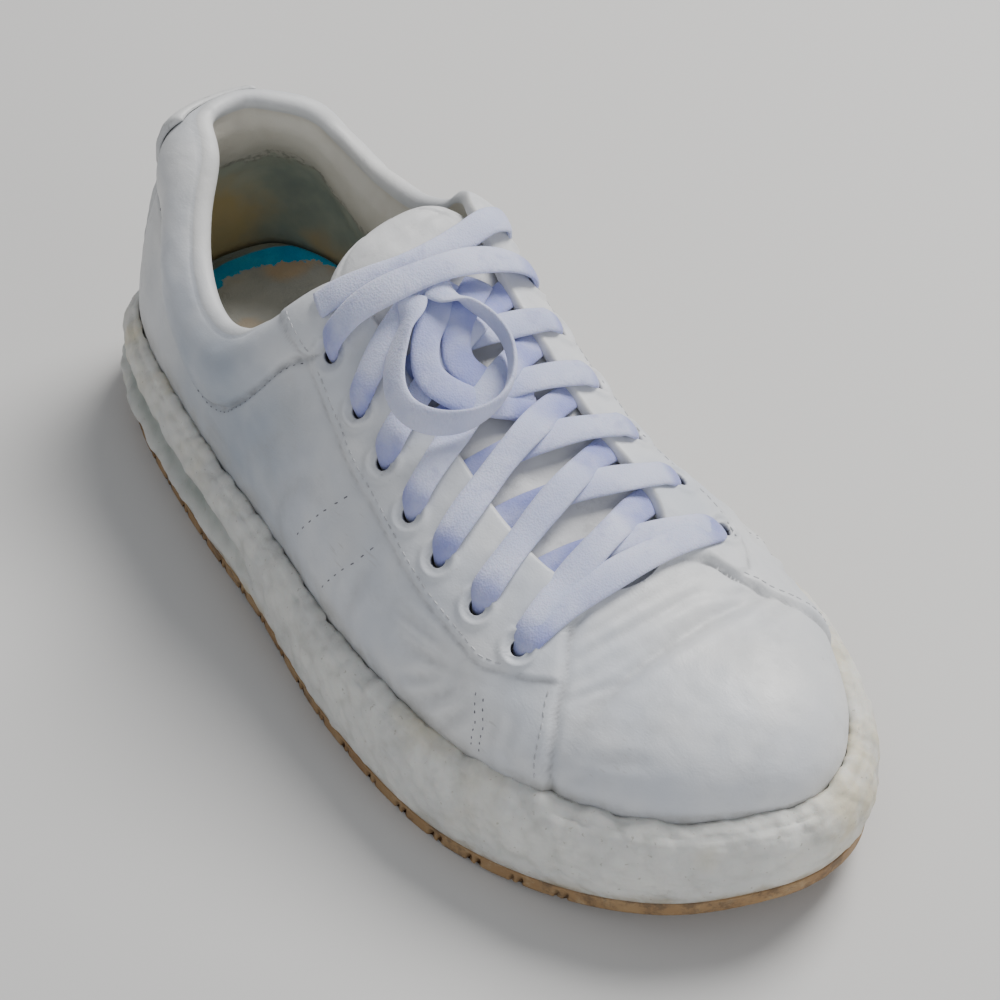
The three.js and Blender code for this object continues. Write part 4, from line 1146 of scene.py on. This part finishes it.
def strip_between(spots, pinch=(True, False), turn=0.0):
    path, out, tangent = band_line(spots)
    run = np.arange(len(path)) * 1.0
    width = np.full(len(path), LACE_WIDTH) * (1 + 0.05 * np.sin(run / 5 + turn))
    thick = np.full(len(path), LACE_THICK)
    for end, pinched in zip((run, run[::-1]), pinch):
        if pinched:
            near = 1 - smoothstep(2.5, 10, end)
            width = width * (1 - 0.5 * near)
            thick = thick * (1 + 0.9 * near)
    # Where the band dives into a hole its face looks back along the way it came.
    steep = np.clip((np.abs((tangent * out).sum(-1)) - 0.25) / 0.6, 0, 1)
    flat_dir = unit(path[-1] - path[0])
    lean = np.where((run < run[-1] / 2)[:, None], -flat_dir, flat_dir)
    sway = 0.12 * np.sin(run / 7 + turn)[:, None] * flat_dir
    out = unit(out * (1 - steep)[:, None] + lean * steep[:, None] + sway)
    padded = np.concatenate([out[:1]] * 3 + [out] + [out[-1:]] * 3)
    out = unit(sum(padded[k:k + len(out)] for k in range(7)))
    return path, out, width, thick


def edge_x(side, s):
    return float((throat_lateral if side < 0 else throat_medial)(s))


def crossing(i, side, over):
    """From eyelet i of one side up over its stay, across, and under the other stay towards eyelet i - 1."""
    here, there = (EYELETS_LATERAL, EYELETS_MEDIAL) if side < 0 else (EYELETS_MEDIAL, EYELETS_LATERAL)
    (x0, s0), (x1, s1) = here[i], there[i - 1]
    at = lambda t, lift: (x0 + (x1 - x0) * t, s0 + (s1 - s0) * t, lift)
    near = (edge_x(side, s0) - x0) / (x1 - x0)
    far = (edge_x(-side, s1) - x0) / (x1 - x0)
    mid = (near + far) / 2
    high = 3.1 if over else 1.1
    return [at(-0.01, -4.2), at(0.0, -1.4), at(0.035, 1.9), at(0.09, 3.1), at(near * 0.75, 2.8),
            at(near + 0.04, 2.0), at((near + mid) / 2, (high + 1.6) / 2 + 0.2), at(mid, high),
            at((mid + far) / 2, (high - 1.8) / 2), at(far - 0.03, -1.6), at(far + 0.03, -2.8),
            at(far + 0.10, -3.6)]


def build_laces():
    rings, lace_shades = [], []

    def add(spots, pinch=(True, False), turn=0.0, shaded=0.0):
        path, out, width, thick = strip_between(spots, pinch, turn)
        ring = band_mesh(path, out, width, thick)
        lift = np.interp(np.linspace(0, len(spots) - 1, len(path)), np.arange(len(spots)),
                         [p[2] for p in spots])
        # Painted shade: the band darkens where it lies low on the leather and where it dives into the holes,
        # and on the shaded strips.
        deep = np.maximum(1 - smoothstep(-0.4, 2.6, lift), shaded)
        rings.append(ring)
        lace_shades.append(np.repeat(deep, ring.shape[1]))
    (xa, sa), (xb, sb) = EYELETS_LATERAL[6], EYELETS_MEDIAL[6]
    at = lambda t, lift: (xa + (xb - xa) * t, sa + (sb - sa) * t, lift)
    add([at(-0.015, -4.4), at(-0.005, -1.4), at(0.03, 1.9), at(0.09, 3.1), at(0.25, 2.6), at(0.5, 3.0),
         at(0.75, 2.6), at(0.91, 3.0), at(0.97, 1.9), at(1.005, -1.4), at(1.015, -4.4)], (True, True), 0.4)
    for i in range(6, 1, -1):
        add(crossing(i, 1, False), turn=i * 1.7)
        add(crossing(i, -1, True), turn=i * 2.3 + 1)
    # the top bar, from the first lateral hole up and over to the second medial one
    add([(-29.0, 126.5, -4.0), (-28.5, 126, -1.2), (-27.0, 125, 2.2), (-24, 124.8, 4.6), (-17, 126, 7.6),
         (-8, 128.4, 9.7), (4, 131, 9.9), (14, 133.4, 8.2), (21.5, 135.6, 5.4), (26.5, 137, 3.4),
         (29, 138, 1.2), (29.8, 138.4, -1.5), (29.9, 138.4, -4)], (True, True), 2.0)
    # from the second lateral hole up under that bar
    add([(-31.8, 142.6, -4.0), (-31, 142, -1.2), (-29.2, 141, 2.0), (-25, 139.4, 3.4), (-18, 137, 4.6),
         (-10, 134, 4.4), (-2, 131, 3.4), (6, 128.8, 2.4), (13, 126, 1.0)], turn=3.1)
    # folded strips inside the loop; their ends lie under the bars above and below it
    add([(4, 133, 2.6), (-3, 138.5, 4.6), (-10, 144, 5.8), (-14, 151, 5.4), (-12, 159, 4.0), (-5, 166, 1.6),
         (5, 172, -0.8)], (False, False), 0.2, 0.45)
    add([(13, 136, 0.2), (6, 140, 3.4), (-2, 146, 4.2), (-6, 153, 3.6), (-3, 161, 2.2), (7, 168, -0.2)],
        (False, False), 1.2, 0.85)
    points = np.concatenate([r.reshape(-1, 3) for r in rings])
    faces, first = [], 0
    for r in rings:
        rows, width = r.shape[:2]
        faces += band_faces(rows, width, first)
        first += rows * width
    return mesh_object("lace_crossings", points, faces, {"deep": np.concatenate(lace_shades)}, merge=0)


# ---- cords: the standing loop and the tucked end -------------------------------------------------
# Routes: across, distance from the heel back, lift of the band's middle above the plain leather.
LOOP_LIFT = 7.9
LOOP_ROUTE = [(x, s, LOOP_LIFT) for x, s in [(-1.5, 132.8), (0.2, 137.0), (3.6, 142.6), (5.6, 148.5),
                                             (5.8, 155.0), (3.6, 161.2), (-1.0, 166.0), (-6.5, 168.4),
                                             (-12.5, 168.0), (-17.8, 165.0), (-21.4, 160.2), (-22.8, 154.6),
                                             (-21.8, 149.0), (-18.6, 144.0), (-14.0, 139.8), (-9.4, 136.4),
                                             (-6.4, 132.4)]]
END_ROUTE = [(30.2, 123.4, 1.5), (28.0, 123.6, 3.4), (22.5, 124.3, 5.0), (14.0, 125.6, 5.3),
             (5.0, 126.2, 5.3), (-4.0, 125.4, 5.3), (-12.0, 122.6, 5.2), (-18.5, 119.2, 4.6),
             (-23.5, 116.4, 3.9)]


def cord_piece(name, route, standing, exit_spot):
    path, out, tangent = band_line(route)
    if standing:
        # The loop stands on edge and leans outwards; its ends turn flat under the top bar.
        run = np.arange(len(path)) / (len(path) - 1)
        outwards = np.cross(tangent, out)
        lean = 0.15 + 1.7 * np.exp(-((run - 0.73) / 0.17) ** 2) - 0.25 * np.exp(-((run - 0.4) / 0.15) ** 2)
        upright = smoothstep(0.0, 0.12, run) * (1 - smoothstep(0.9, 1.0, run))
        flat_share = 1 - upright + upright * lean
        out = unit(outwards * (upright + 0.05)[:, None] + out * flat_share[:, None])
    ring = band_mesh(path, out)
    rows, width = ring.shape[:2]
    piece = mesh_object(name, ring.reshape(-1, 3), band_faces(rows, width), merge=0)
    tuple(to_metres(np.array(exit_spot)).tolist())
    to_metres(path).tolist()
    return piece


# ---- materials ------------------------------------------------------------------------------------
class Look:
    """A node material with short ways to add noise, mixes and bump."""

    def __init__(self, name):
        self.material = bpy.data.materials.new(name)
        self.material.use_nodes = True
        self.tree = self.material.node_tree
        self.shader = next(n for n in self.tree.nodes if n.type == "BSDF_PRINCIPLED")
        self.place = self.tree.nodes.new("ShaderNodeTexCoord").outputs["Object"]

    def node(self, kind, values=None, **settings):
        node = self.tree.nodes.new(kind)
        for key, value in settings.items():
            setattr(node, key, value)
        for key, value in (values or {}).items():
            self.feed(node.inputs[key], value)
        return node

    def feed(self, socket, value):
        if isinstance(value, bpy.types.NodeSocket):
            self.tree.links.new(value, socket)
        else:
            socket.default_value = value

    def stretched(self, scale):
        return self.node("ShaderNodeMapping", {"Vector": self.place, "Scale": scale}).outputs[0]

    def noise(self, scale, detail=3.0, rough=0.55, at=None, warp=0.0):
        values = {"Vector": at or self.place, "Scale": scale, "Detail": detail, "Roughness": rough,
                  "Distortion": warp}
        return self.node("ShaderNodeTexNoise", values).outputs[0]

    def cells(self, scale, feature="F1", at=None):
        values = {"Vector": at or self.place, "Scale": scale}
        return self.node("ShaderNodeTexVoronoi", values, feature=feature).outputs["Distance"]

    def stored(self, name):
        return self.node("ShaderNodeAttribute", attribute_name=name).outputs["Fac"]

    def blotches(self, scale, detail, low, high, *out, rough=0.55):
        """Noise turned into soft patches."""
        return self.step(self.noise(scale, detail, rough), low, high, *out)

    def step(self, value, low, high, out_low=0.0, out_high=1.0):
        values = {"Value": value, "From Min": low, "From Max": high, "To Min": out_low, "To Max": out_high}
        return self.node("ShaderNodeMapRange", values, interpolation_type="SMOOTHSTEP").outputs[0]

    def math(self, kind, a, b=0.0):
        return self.node("ShaderNodeMath", {0: a, 1: b}, operation=kind).outputs[0]

    def times(self, a, b):
        return self.math("MULTIPLY", a, b)

    def mix(self, share, a, b):
        node = self.tree.nodes.new("ShaderNodeMix")
        node.data_type = "RGBA"
        self.feed(node.inputs[0], share)
        self.feed(node.inputs[6], (*a, 1) if isinstance(a, tuple) else a)
        self.feed(node.inputs[7], (*b, 1) if isinstance(b, tuple) else b)
        return node.outputs[2]

    def bump(self, height, distance, strength=1.0, after=None):
        values = {"Height": height, "Distance": distance, "Strength": strength}
        if after is not None:
            values["Normal"] = after
        return self.node("ShaderNodeBump", values).outputs[0]

    def finish(self, color, roughness, normal=None, **more):
        self.feed(self.shader.inputs["Base Color"], (*color, 1) if isinstance(color, tuple) else color)
        self.feed(self.shader.inputs["Roughness"], roughness)
        if normal is not None:
            self.feed(self.shader.inputs["Normal"], normal)
        for key, value in more.items():
            self.shader.inputs[key.replace("_", " ")].default_value = value
        return self.material

    def distance(self, place):
        return self.node("ShaderNodeVectorMath", {0: self.place, 1: place},
                         operation="DISTANCE").outputs["Value"]

    def split(self):
        node = self.node("ShaderNodeSeparateXYZ", {"Vector": self.place})
        return node.outputs[0], node.outputs[1], node.outputs[2]


def leather_look():
    k = Look("worn_white_leather")
    inside, down, shade = k.stored("inside"), k.stored("down"), k.stored("shade")
    seam, low, hole = k.stored("seam"), k.stored("low"), k.stored("hole")
    x, y, z = k.split()
    patch = k.noise(28, 3)
    skin = k.mix(k.step(patch, 0.35, 0.7), (0.575, 0.605, 0.66), (0.72, 0.73, 0.745))
    # Painted shade: the outer quarter on the lateral side is darkened to blue grey in broad soft patches, for
    # the shade that falls on that side.
    quarter = k.times(k.times(k.step(y, 0.004, 0.03), k.step(y, 0.11, 0.09)), k.step(x, -0.028, -0.04))
    quarter = k.times(quarter, k.times(k.step(z, 0.086, 0.076), k.blotches(24, 3, 0.3, 0.62, 0.35, 0.9)))
    skin = k.mix(quarter, skin, (0.34, 0.39, 0.465))
    skin = k.mix(k.blotches(11, 2, 0.45, 0.7, 0, 0.5), skin, (0.66, 0.65, 0.62))
    grey = k.times(k.blotches(60, 5, 0.5, 0.72, rough=0.7), 0.28)
    skin = k.mix(grey, skin, (0.44, 0.455, 0.47))
    skin = k.mix(k.times(shade, k.blotches(300, 3, 0.3, 0.7, 0.2, 0.5)), skin, (0.36, 0.36, 0.36))
    skin = k.mix(k.times(seam, k.blotches(240, 3, 0.35, 0.65, 0.2, 0.65)), skin, (0.25, 0.25, 0.26))
    skin = k.mix(k.times(low, k.blotches(90, 4, 0.3, 0.7, 0.15, 0.75, rough=0.7)), skin, (0.37, 0.36, 0.33))
    scuff = k.times(k.step(k.noise(900, 2, at=k.stretched((1, 0.12, 1))), 0.62, 0.7),
                    k.blotches(45, 2, 0.55, 0.66, 0, 0.35))
    skin = k.mix(scuff, skin, (0.40, 0.39, 0.37))
    ragged = k.math("ADD", down, k.times(k.math("SUBTRACT", k.noise(130, 4, 0.7), 0.5), 0.17))
    deep = k.step(ragged, 0.235, 0.275)
    pale = k.mix(k.blotches(50, 3, 0.35, 0.7), (0.70, 0.67, 0.60), (0.62, 0.585, 0.51))
    # Painted shade: the pale lining darkens from about 8 to 26 mm below the rim, deeper into the shoe.
    pale = k.mix(k.times(k.step(down, 0.08, 0.26), 0.5), pale, (0.42, 0.40, 0.345))
    cloth = k.mix(k.blotches(32, 4, 0.35, 0.7), (0.25, 0.295, 0.265), (0.43, 0.45, 0.37))
    cloth = k.mix(k.times(k.blotches(17, 3, 0.52, 0.62), k.step(down, 0.4, 0.62)), cloth, (0.56, 0.40, 0.20))
    ochre = k.distance((0.004, 0.1355, 0.042))
    ochre = k.step(k.math("ADD", ochre, k.times(k.noise(90, 3), 0.014)), 0.034, 0.018)
    cloth = k.mix(k.times(ochre, 0.85), cloth, (0.62, 0.45, 0.20))
    fray = k.times(k.step(ragged, 0.215, 0.24), k.step(ragged, 0.285, 0.255))
    inner = k.mix(deep, pale, cloth)
    inner = k.mix(k.times(fray, k.blotches(420, 3, 0.4, 0.6)), inner, (0.30, 0.29, 0.25))
    color = k.mix(k.step(inside, 0.3, 0.9), skin, inner)
    # Painted shade: the turned-in edges of the lace holes are near black.
    color = k.mix(hole, color, (0.035, 0.037, 0.045))
    grain = k.bump(k.cells(1150, "DISTANCE_TO_EDGE"), 0.00012, 0.35)
    grain = k.bump(k.noise(420, 4, 0.6), 0.00022, 0.35, grain)
    folds = k.noise(170, 3, 0.6, at=k.stretched((1, 0.45, 1)), warp=0.6)
    grain = k.bump(folds, 0.0009, 0.22, grain)
    grain = k.bump(k.noise(70, 2), 0.002, 0.16, grain)
    rough = k.blotches(75, 4, 0.3, 0.7, 0.38, 0.56, rough=0.65)
    rough = k.math("ADD", rough, k.times(k.step(inside, 0.3, 0.9), 0.3))
    return k.finish(color, rough, grain, Specular_IOR_Level=0.42, Sheen_Weight=0.06)


def foam_look():
    k = Look("pellet_foam")
    cleft_shade, tall, groove_shade = k.stored("cleft_shade"), k.stored("tall"), k.stored("groove_shade")
    color = k.mix(k.blotches(60, 4, 0.35, 0.65), (0.70, 0.70, 0.665), (0.615, 0.62, 0.60))
    yellow = k.times(k.blotches(19, 3, 0.5, 0.66), k.blotches(120, 4, 0.3, 0.6, 0.25, 0.85))
    color = k.mix(yellow, color, (0.66, 0.60, 0.44))
    # Painted shade: darker grey in the gaps between the pellets.
    color = k.mix(k.times(cleft_shade, k.blotches(210, 3, 0.3, 0.7, 0.1, 0.5)), color, (0.42, 0.42, 0.38))
    # Painted shade: grey green in the heel's side groove and along the bottom of the wall.
    color = k.mix(k.times(groove_shade, k.blotches(70, 4, 0.25, 0.7, 0.6, 0.95)), color, (0.25, 0.28, 0.255))
    dirt = k.times(k.step(tall, 0.22, 0.0), k.blotches(80, 4, 0.36, 0.66, 0.1, 0.9, rough=0.7))
    color = k.mix(dirt, color, (0.40, 0.34, 0.24))
    smear = k.times(k.blotches(42, 5, 0.52, 0.68, rough=0.75), 0.45)
    color = k.mix(smear, color, (0.47, 0.47, 0.44))
    specks = k.blotches(700, 2, 0.68, 0.74, 0, 0.5)
    color = k.mix(specks, color, (0.30, 0.27, 0.21))
    x, y, z = k.split()
    tint = k.times(k.times(k.step(x, 0.028, 0.036), k.step(z, 0.02, 0.012)),
                  k.times(k.step(y, -0.02, 0.01), k.step(y, 0.085, 0.05)))
    color = k.mix(k.times(tint, k.blotches(60, 3, 0.35, 0.6, 0.2, 0.8)), color, (0.66, 0.24, 0.06))
    bump = k.bump(k.cells(330, "SMOOTH_F1"), 0.0005, 0.45)
    bump = k.bump(k.noise(620, 5, 0.7), 0.0003, 0.5, bump)
    bump = k.bump(k.noise(130, 3), 0.0012, 0.3, bump)
    return k.finish(color, k.blotches(90, 3, 0.3, 0.7, 0.5, 0.72), bump, Specular_IOR_Level=0.4,
                    Subsurface_Weight=0.06, Subsurface_Scale=0.004)


def gum_look():
    k = Look("gum_rubber")
    recess = k.stored("recess")
    color = k.mix(k.blotches(50, 4, 0.3, 0.7), (0.30, 0.175, 0.08), (0.38, 0.245, 0.12))
    # Painted shade: the recessed tread and the notch slits are darkened.
    color = k.mix(k.times(recess, 0.85), color, (0.12, 0.066, 0.03))
    color = k.mix(k.blotches(260, 5, 0.5, 0.7, 0, 0.55, rough=0.7), color, (0.47, 0.36, 0.22))
    dirt = k.times(k.blotches(115, 5, 0.5, 0.64, rough=0.75), 0.7)
    color = k.mix(dirt, color, (0.13, 0.085, 0.05))
    streak = k.step(k.noise(500, 3, at=k.stretched((0.12, 1, 1))), 0.56, 0.68, 0, 0.55)
    color = k.mix(k.times(streak, recess), color, (0.10, 0.06, 0.03))
    bump = k.bump(k.noise(900, 4, 0.7), 0.00025, 0.5)
    bump = k.bump(k.noise(300, 5, 0.7), 0.0006, 0.35, bump)
    return k.finish(color, k.blotches(130, 3, 0.3, 0.7, 0.5, 0.75), bump, Specular_IOR_Level=0.4)


def strip_look():
    k = Look("pale_tread_strip")
    color = k.mix(k.blotches(70, 4, 0.35, 0.65), (0.58, 0.575, 0.40), (0.47, 0.48, 0.33))
    color = k.mix(k.blotches(240, 5, 0.5, 0.66, 0, 0.7, rough=0.7), color, (0.32, 0.29, 0.19))
    bump = k.bump(k.cells(260, "SMOOTH_F1"), 0.0008, 0.55)
    bump = k.bump(k.noise(500, 4), 0.0004, 0.5, bump)
    return k.finish(color, 0.62, bump)


def tab_look():
    k = Look("heel_tab_leather")
    color = k.mix(k.blotches(40, 4, 0.35, 0.7), (0.64, 0.645, 0.64), (0.55, 0.56, 0.57))
    color = k.mix(k.blotches(170, 5, 0.52, 0.66, 0, 0.6, rough=0.75), color, (0.36, 0.36, 0.35))
    bump = k.bump(k.cells(1000, "DISTANCE_TO_EDGE"), 0.00014, 0.4)
    bump = k.bump(k.noise(260, 4, 0.65, warp=0.8), 0.0007, 0.35, bump)
    return k.finish(color, k.blotches(90, 3, 0.3, 0.7, 0.42, 0.62), bump, Specular_IOR_Level=0.42)


def tongue_look():
    k = Look("tongue_leather")
    color = k.mix(k.blotches(40, 4, 0.35, 0.7), (0.70, 0.705, 0.71), (0.60, 0.605, 0.61))
    color = k.mix(k.blotches(150, 5, 0.54, 0.68, 0, 0.4, rough=0.7), color, (0.42, 0.42, 0.42))
    bump = k.bump(k.cells(1000, "DISTANCE_TO_EDGE"), 0.00013, 0.35)
    bump = k.bump(k.noise(220, 4, 0.6, warp=0.6), 0.0008, 0.3, bump)
    return k.finish(color, k.blotches(80, 3, 0.3, 0.7, 0.45, 0.62), bump, Specular_IOR_Level=0.4)


def insole_look():
    k = Look("worn_insole")
    x, y, _ = k.split()
    # metres from the middle of the heel seat
    dx, dy = k.math("SUBTRACT", x, 0.0086), k.math("SUBTRACT", y, 0.0995)
    radius = k.math("SQRT", k.math("ADD", k.times(dx, dx), k.times(dy, dy)))
    ragged = k.math("ADD", radius, k.times(k.math("SUBTRACT", k.noise(120, 4, 0.7), 0.5), 0.018))
    behind = k.step(dy, -0.012, 0.0)
    cover = k.mix(k.blotches(48, 4, 0.3, 0.7), (0.62, 0.60, 0.55), (0.47, 0.47, 0.44))
    cover = k.mix(k.blotches(21, 3, 0.52, 0.66, 0, 0.6), cover, (0.44, 0.53, 0.55))
    cover = k.mix(k.blotches(36, 3, 0.56, 0.66, 0, 0.55), cover, (0.66, 0.49, 0.32))
    peach = k.distance((0.0225, 0.1215, 0.0305))
    peach = k.math("ADD", peach, k.times(k.noise(110, 4), 0.008))
    cover = k.mix(k.step(peach, 0.0145, 0.0085, 0, 0.8), cover, (0.72, 0.51, 0.32))
    under = k.mix(k.blotches(40, 3, 0.45, 0.7), (0.24, 0.265, 0.235), (0.50, 0.41, 0.25))
    arc = k.times(k.step(radius, 0.0288, 0.0296), k.step(radius, 0.0352, 0.0342))
    blue = k.mix(k.blotches(90, 3, 0.3, 0.7), (0.015, 0.40, 0.76), (0.05, 0.54, 0.86))
    color = k.mix(k.times(k.step(ragged, 0.0275, 0.0285), behind), cover, blue)
    color = k.mix(k.times(k.step(radius, 0.0342, 0.0352), behind), color, under)
    color = k.mix(k.times(k.times(arc, behind), 0.5), color, blue)
    weave = k.bump(k.cells(1300), 0.00015, 0.5)
    weave = k.bump(k.noise(260, 5, 0.7), 0.0007, 0.45, weave)
    return k.finish(color, 0.82, weave, Specular_IOR_Level=0.25, Sheen_Weight=0.15)


def lace_look():
    k = Look("lavender_lace")
    color = k.mix(k.blotches(55, 3, 0.35, 0.68), (0.62, 0.65, 0.83), (0.50, 0.54, 0.75))
    color = k.mix(k.blotches(140, 4, 0.52, 0.7, 0, 0.45, rough=0.7), color, (0.36, 0.38, 0.60))
    # Painted shade: deep violet on the low parts of the bands and on the shaded strips.
    color = k.mix(k.times(k.stored("deep"), k.blotches(110, 3, 0.25, 0.7, 0.45, 0.95)), color,
                  (0.26, 0.29, 0.62))
    ribs = k.cells(1900, at=k.stretched((1, 1, 0.55)))
    bump = k.bump(ribs, 0.00022, 0.5)
    bump = k.bump(k.noise(700, 3, 0.6), 0.0002, 0.4, bump)
    return k.finish(color, 0.85, bump, Specular_IOR_Level=0.25, Sheen_Weight=0.35, Subsurface_Weight=0.05,
                    Subsurface_Scale=0.002)


def thread_look(name, a, b):
    k = Look(name)
    color = k.mix(k.blotches(300, 3, 0.35, 0.65), a, b)
    return k.finish(color, 0.75, k.bump(k.noise(2500, 2), 0.0001, 0.5))


# ---- assembly -------------------------------------------------------------------------------------
lace = lace_look()
loop_piece = cord_piece("lace_loop_band", LOOP_ROUTE, True, over_last(-1.5, 132.8)[0])
end_piece = cord_piece("lace_end_band", END_ROUTE, False, over_last(31.5, 124)[0])
for cord, node in ((loop_piece, "lace_loop"), (end_piece, "lace_end")):
    piece_on(cord, lace, "lace_fabric", node)

piece_on(build_upper(), leather_look(), "upper_leather", "upper")
seams, seam_holes = build_stitches()
piece_on(seams, thread_look("pale_thread", (0.52, 0.53, 0.55), (0.40, 0.41, 0.43)), "upper_leather")
# Painted shade: near-black dashes for the stitch holes.
piece_on(seam_holes, thread_look("stitch_hole_shade", (0.10, 0.10, 0.12), (0.22, 0.22, 0.25)), "upper_leather")
piece_on(build_heel_tab(), tab_look(), "tab_leather", "heel_tab")
piece_on(build_midsole(), foam_look(), "midsole_foam", "midsole")
piece_on(build_outsole(), gum_look(), "outsole_rubber", "outsole")
piece_on(build_strip(), strip_look(), "strip_rubber", "sole_strip")
tongue = piece_on(build_tongue(), tongue_look(), "tongue_leather", "tongue")
piece_on(build_insole(), insole_look(), "insole_fabric", "insole")
piece_on(build_laces(), lace, "lace_fabric", "lace_bars")


# ---- floor and light --------------------------------------------------------------------------------
def add_floor():
    mesh = bpy.data.meshes.new("floor")
    mesh.from_pydata([(-6, -6, 0), (6, -6, 0), (6, 6, 0), (-6, 6, 0)], [], [(0, 1, 2, 3)])
    floor = bpy.data.objects.new("floor", mesh)
    bpy.context.collection.objects.link(floor)
    k = Look("pale_floor")
    floor.data.materials.append(k.finish((0.60, 0.595, 0.585), 0.7))


def add_light(name, place, size, power, color):
    data = bpy.data.lights.new(name, "AREA")
    data.shape, data.size, data.energy, data.color = "DISK", size, power, color
    light = bpy.data.objects.new(name, data)
    bpy.context.collection.objects.link(light)
    light.location = place
    light.rotation_euler = (Vector((0, 0, 0.05)) - Vector(place)).to_track_quat("-Z", "Y").to_euler()


add_floor()
add_light("key", (0.95, 0.15, 1.35), 0.8, 34, (1, 0.985, 0.96))
add_light("fill", (-1.3, -0.7, 0.9), 1.6, 5, (0.93, 0.96, 1))
add_light("front", (0.2, -1.6, 0.8), 1.2, 6, (1, 1, 1))
world = bpy.data.worlds.new("studio")
world.use_nodes = True
background = next(n for n in world.node_tree.nodes if n.type == "BACKGROUND")
background.inputs["Color"].default_value = (0.86, 0.88, 0.92, 1)
background.inputs["Strength"].default_value = 0.36
bpy.context.scene.world = world
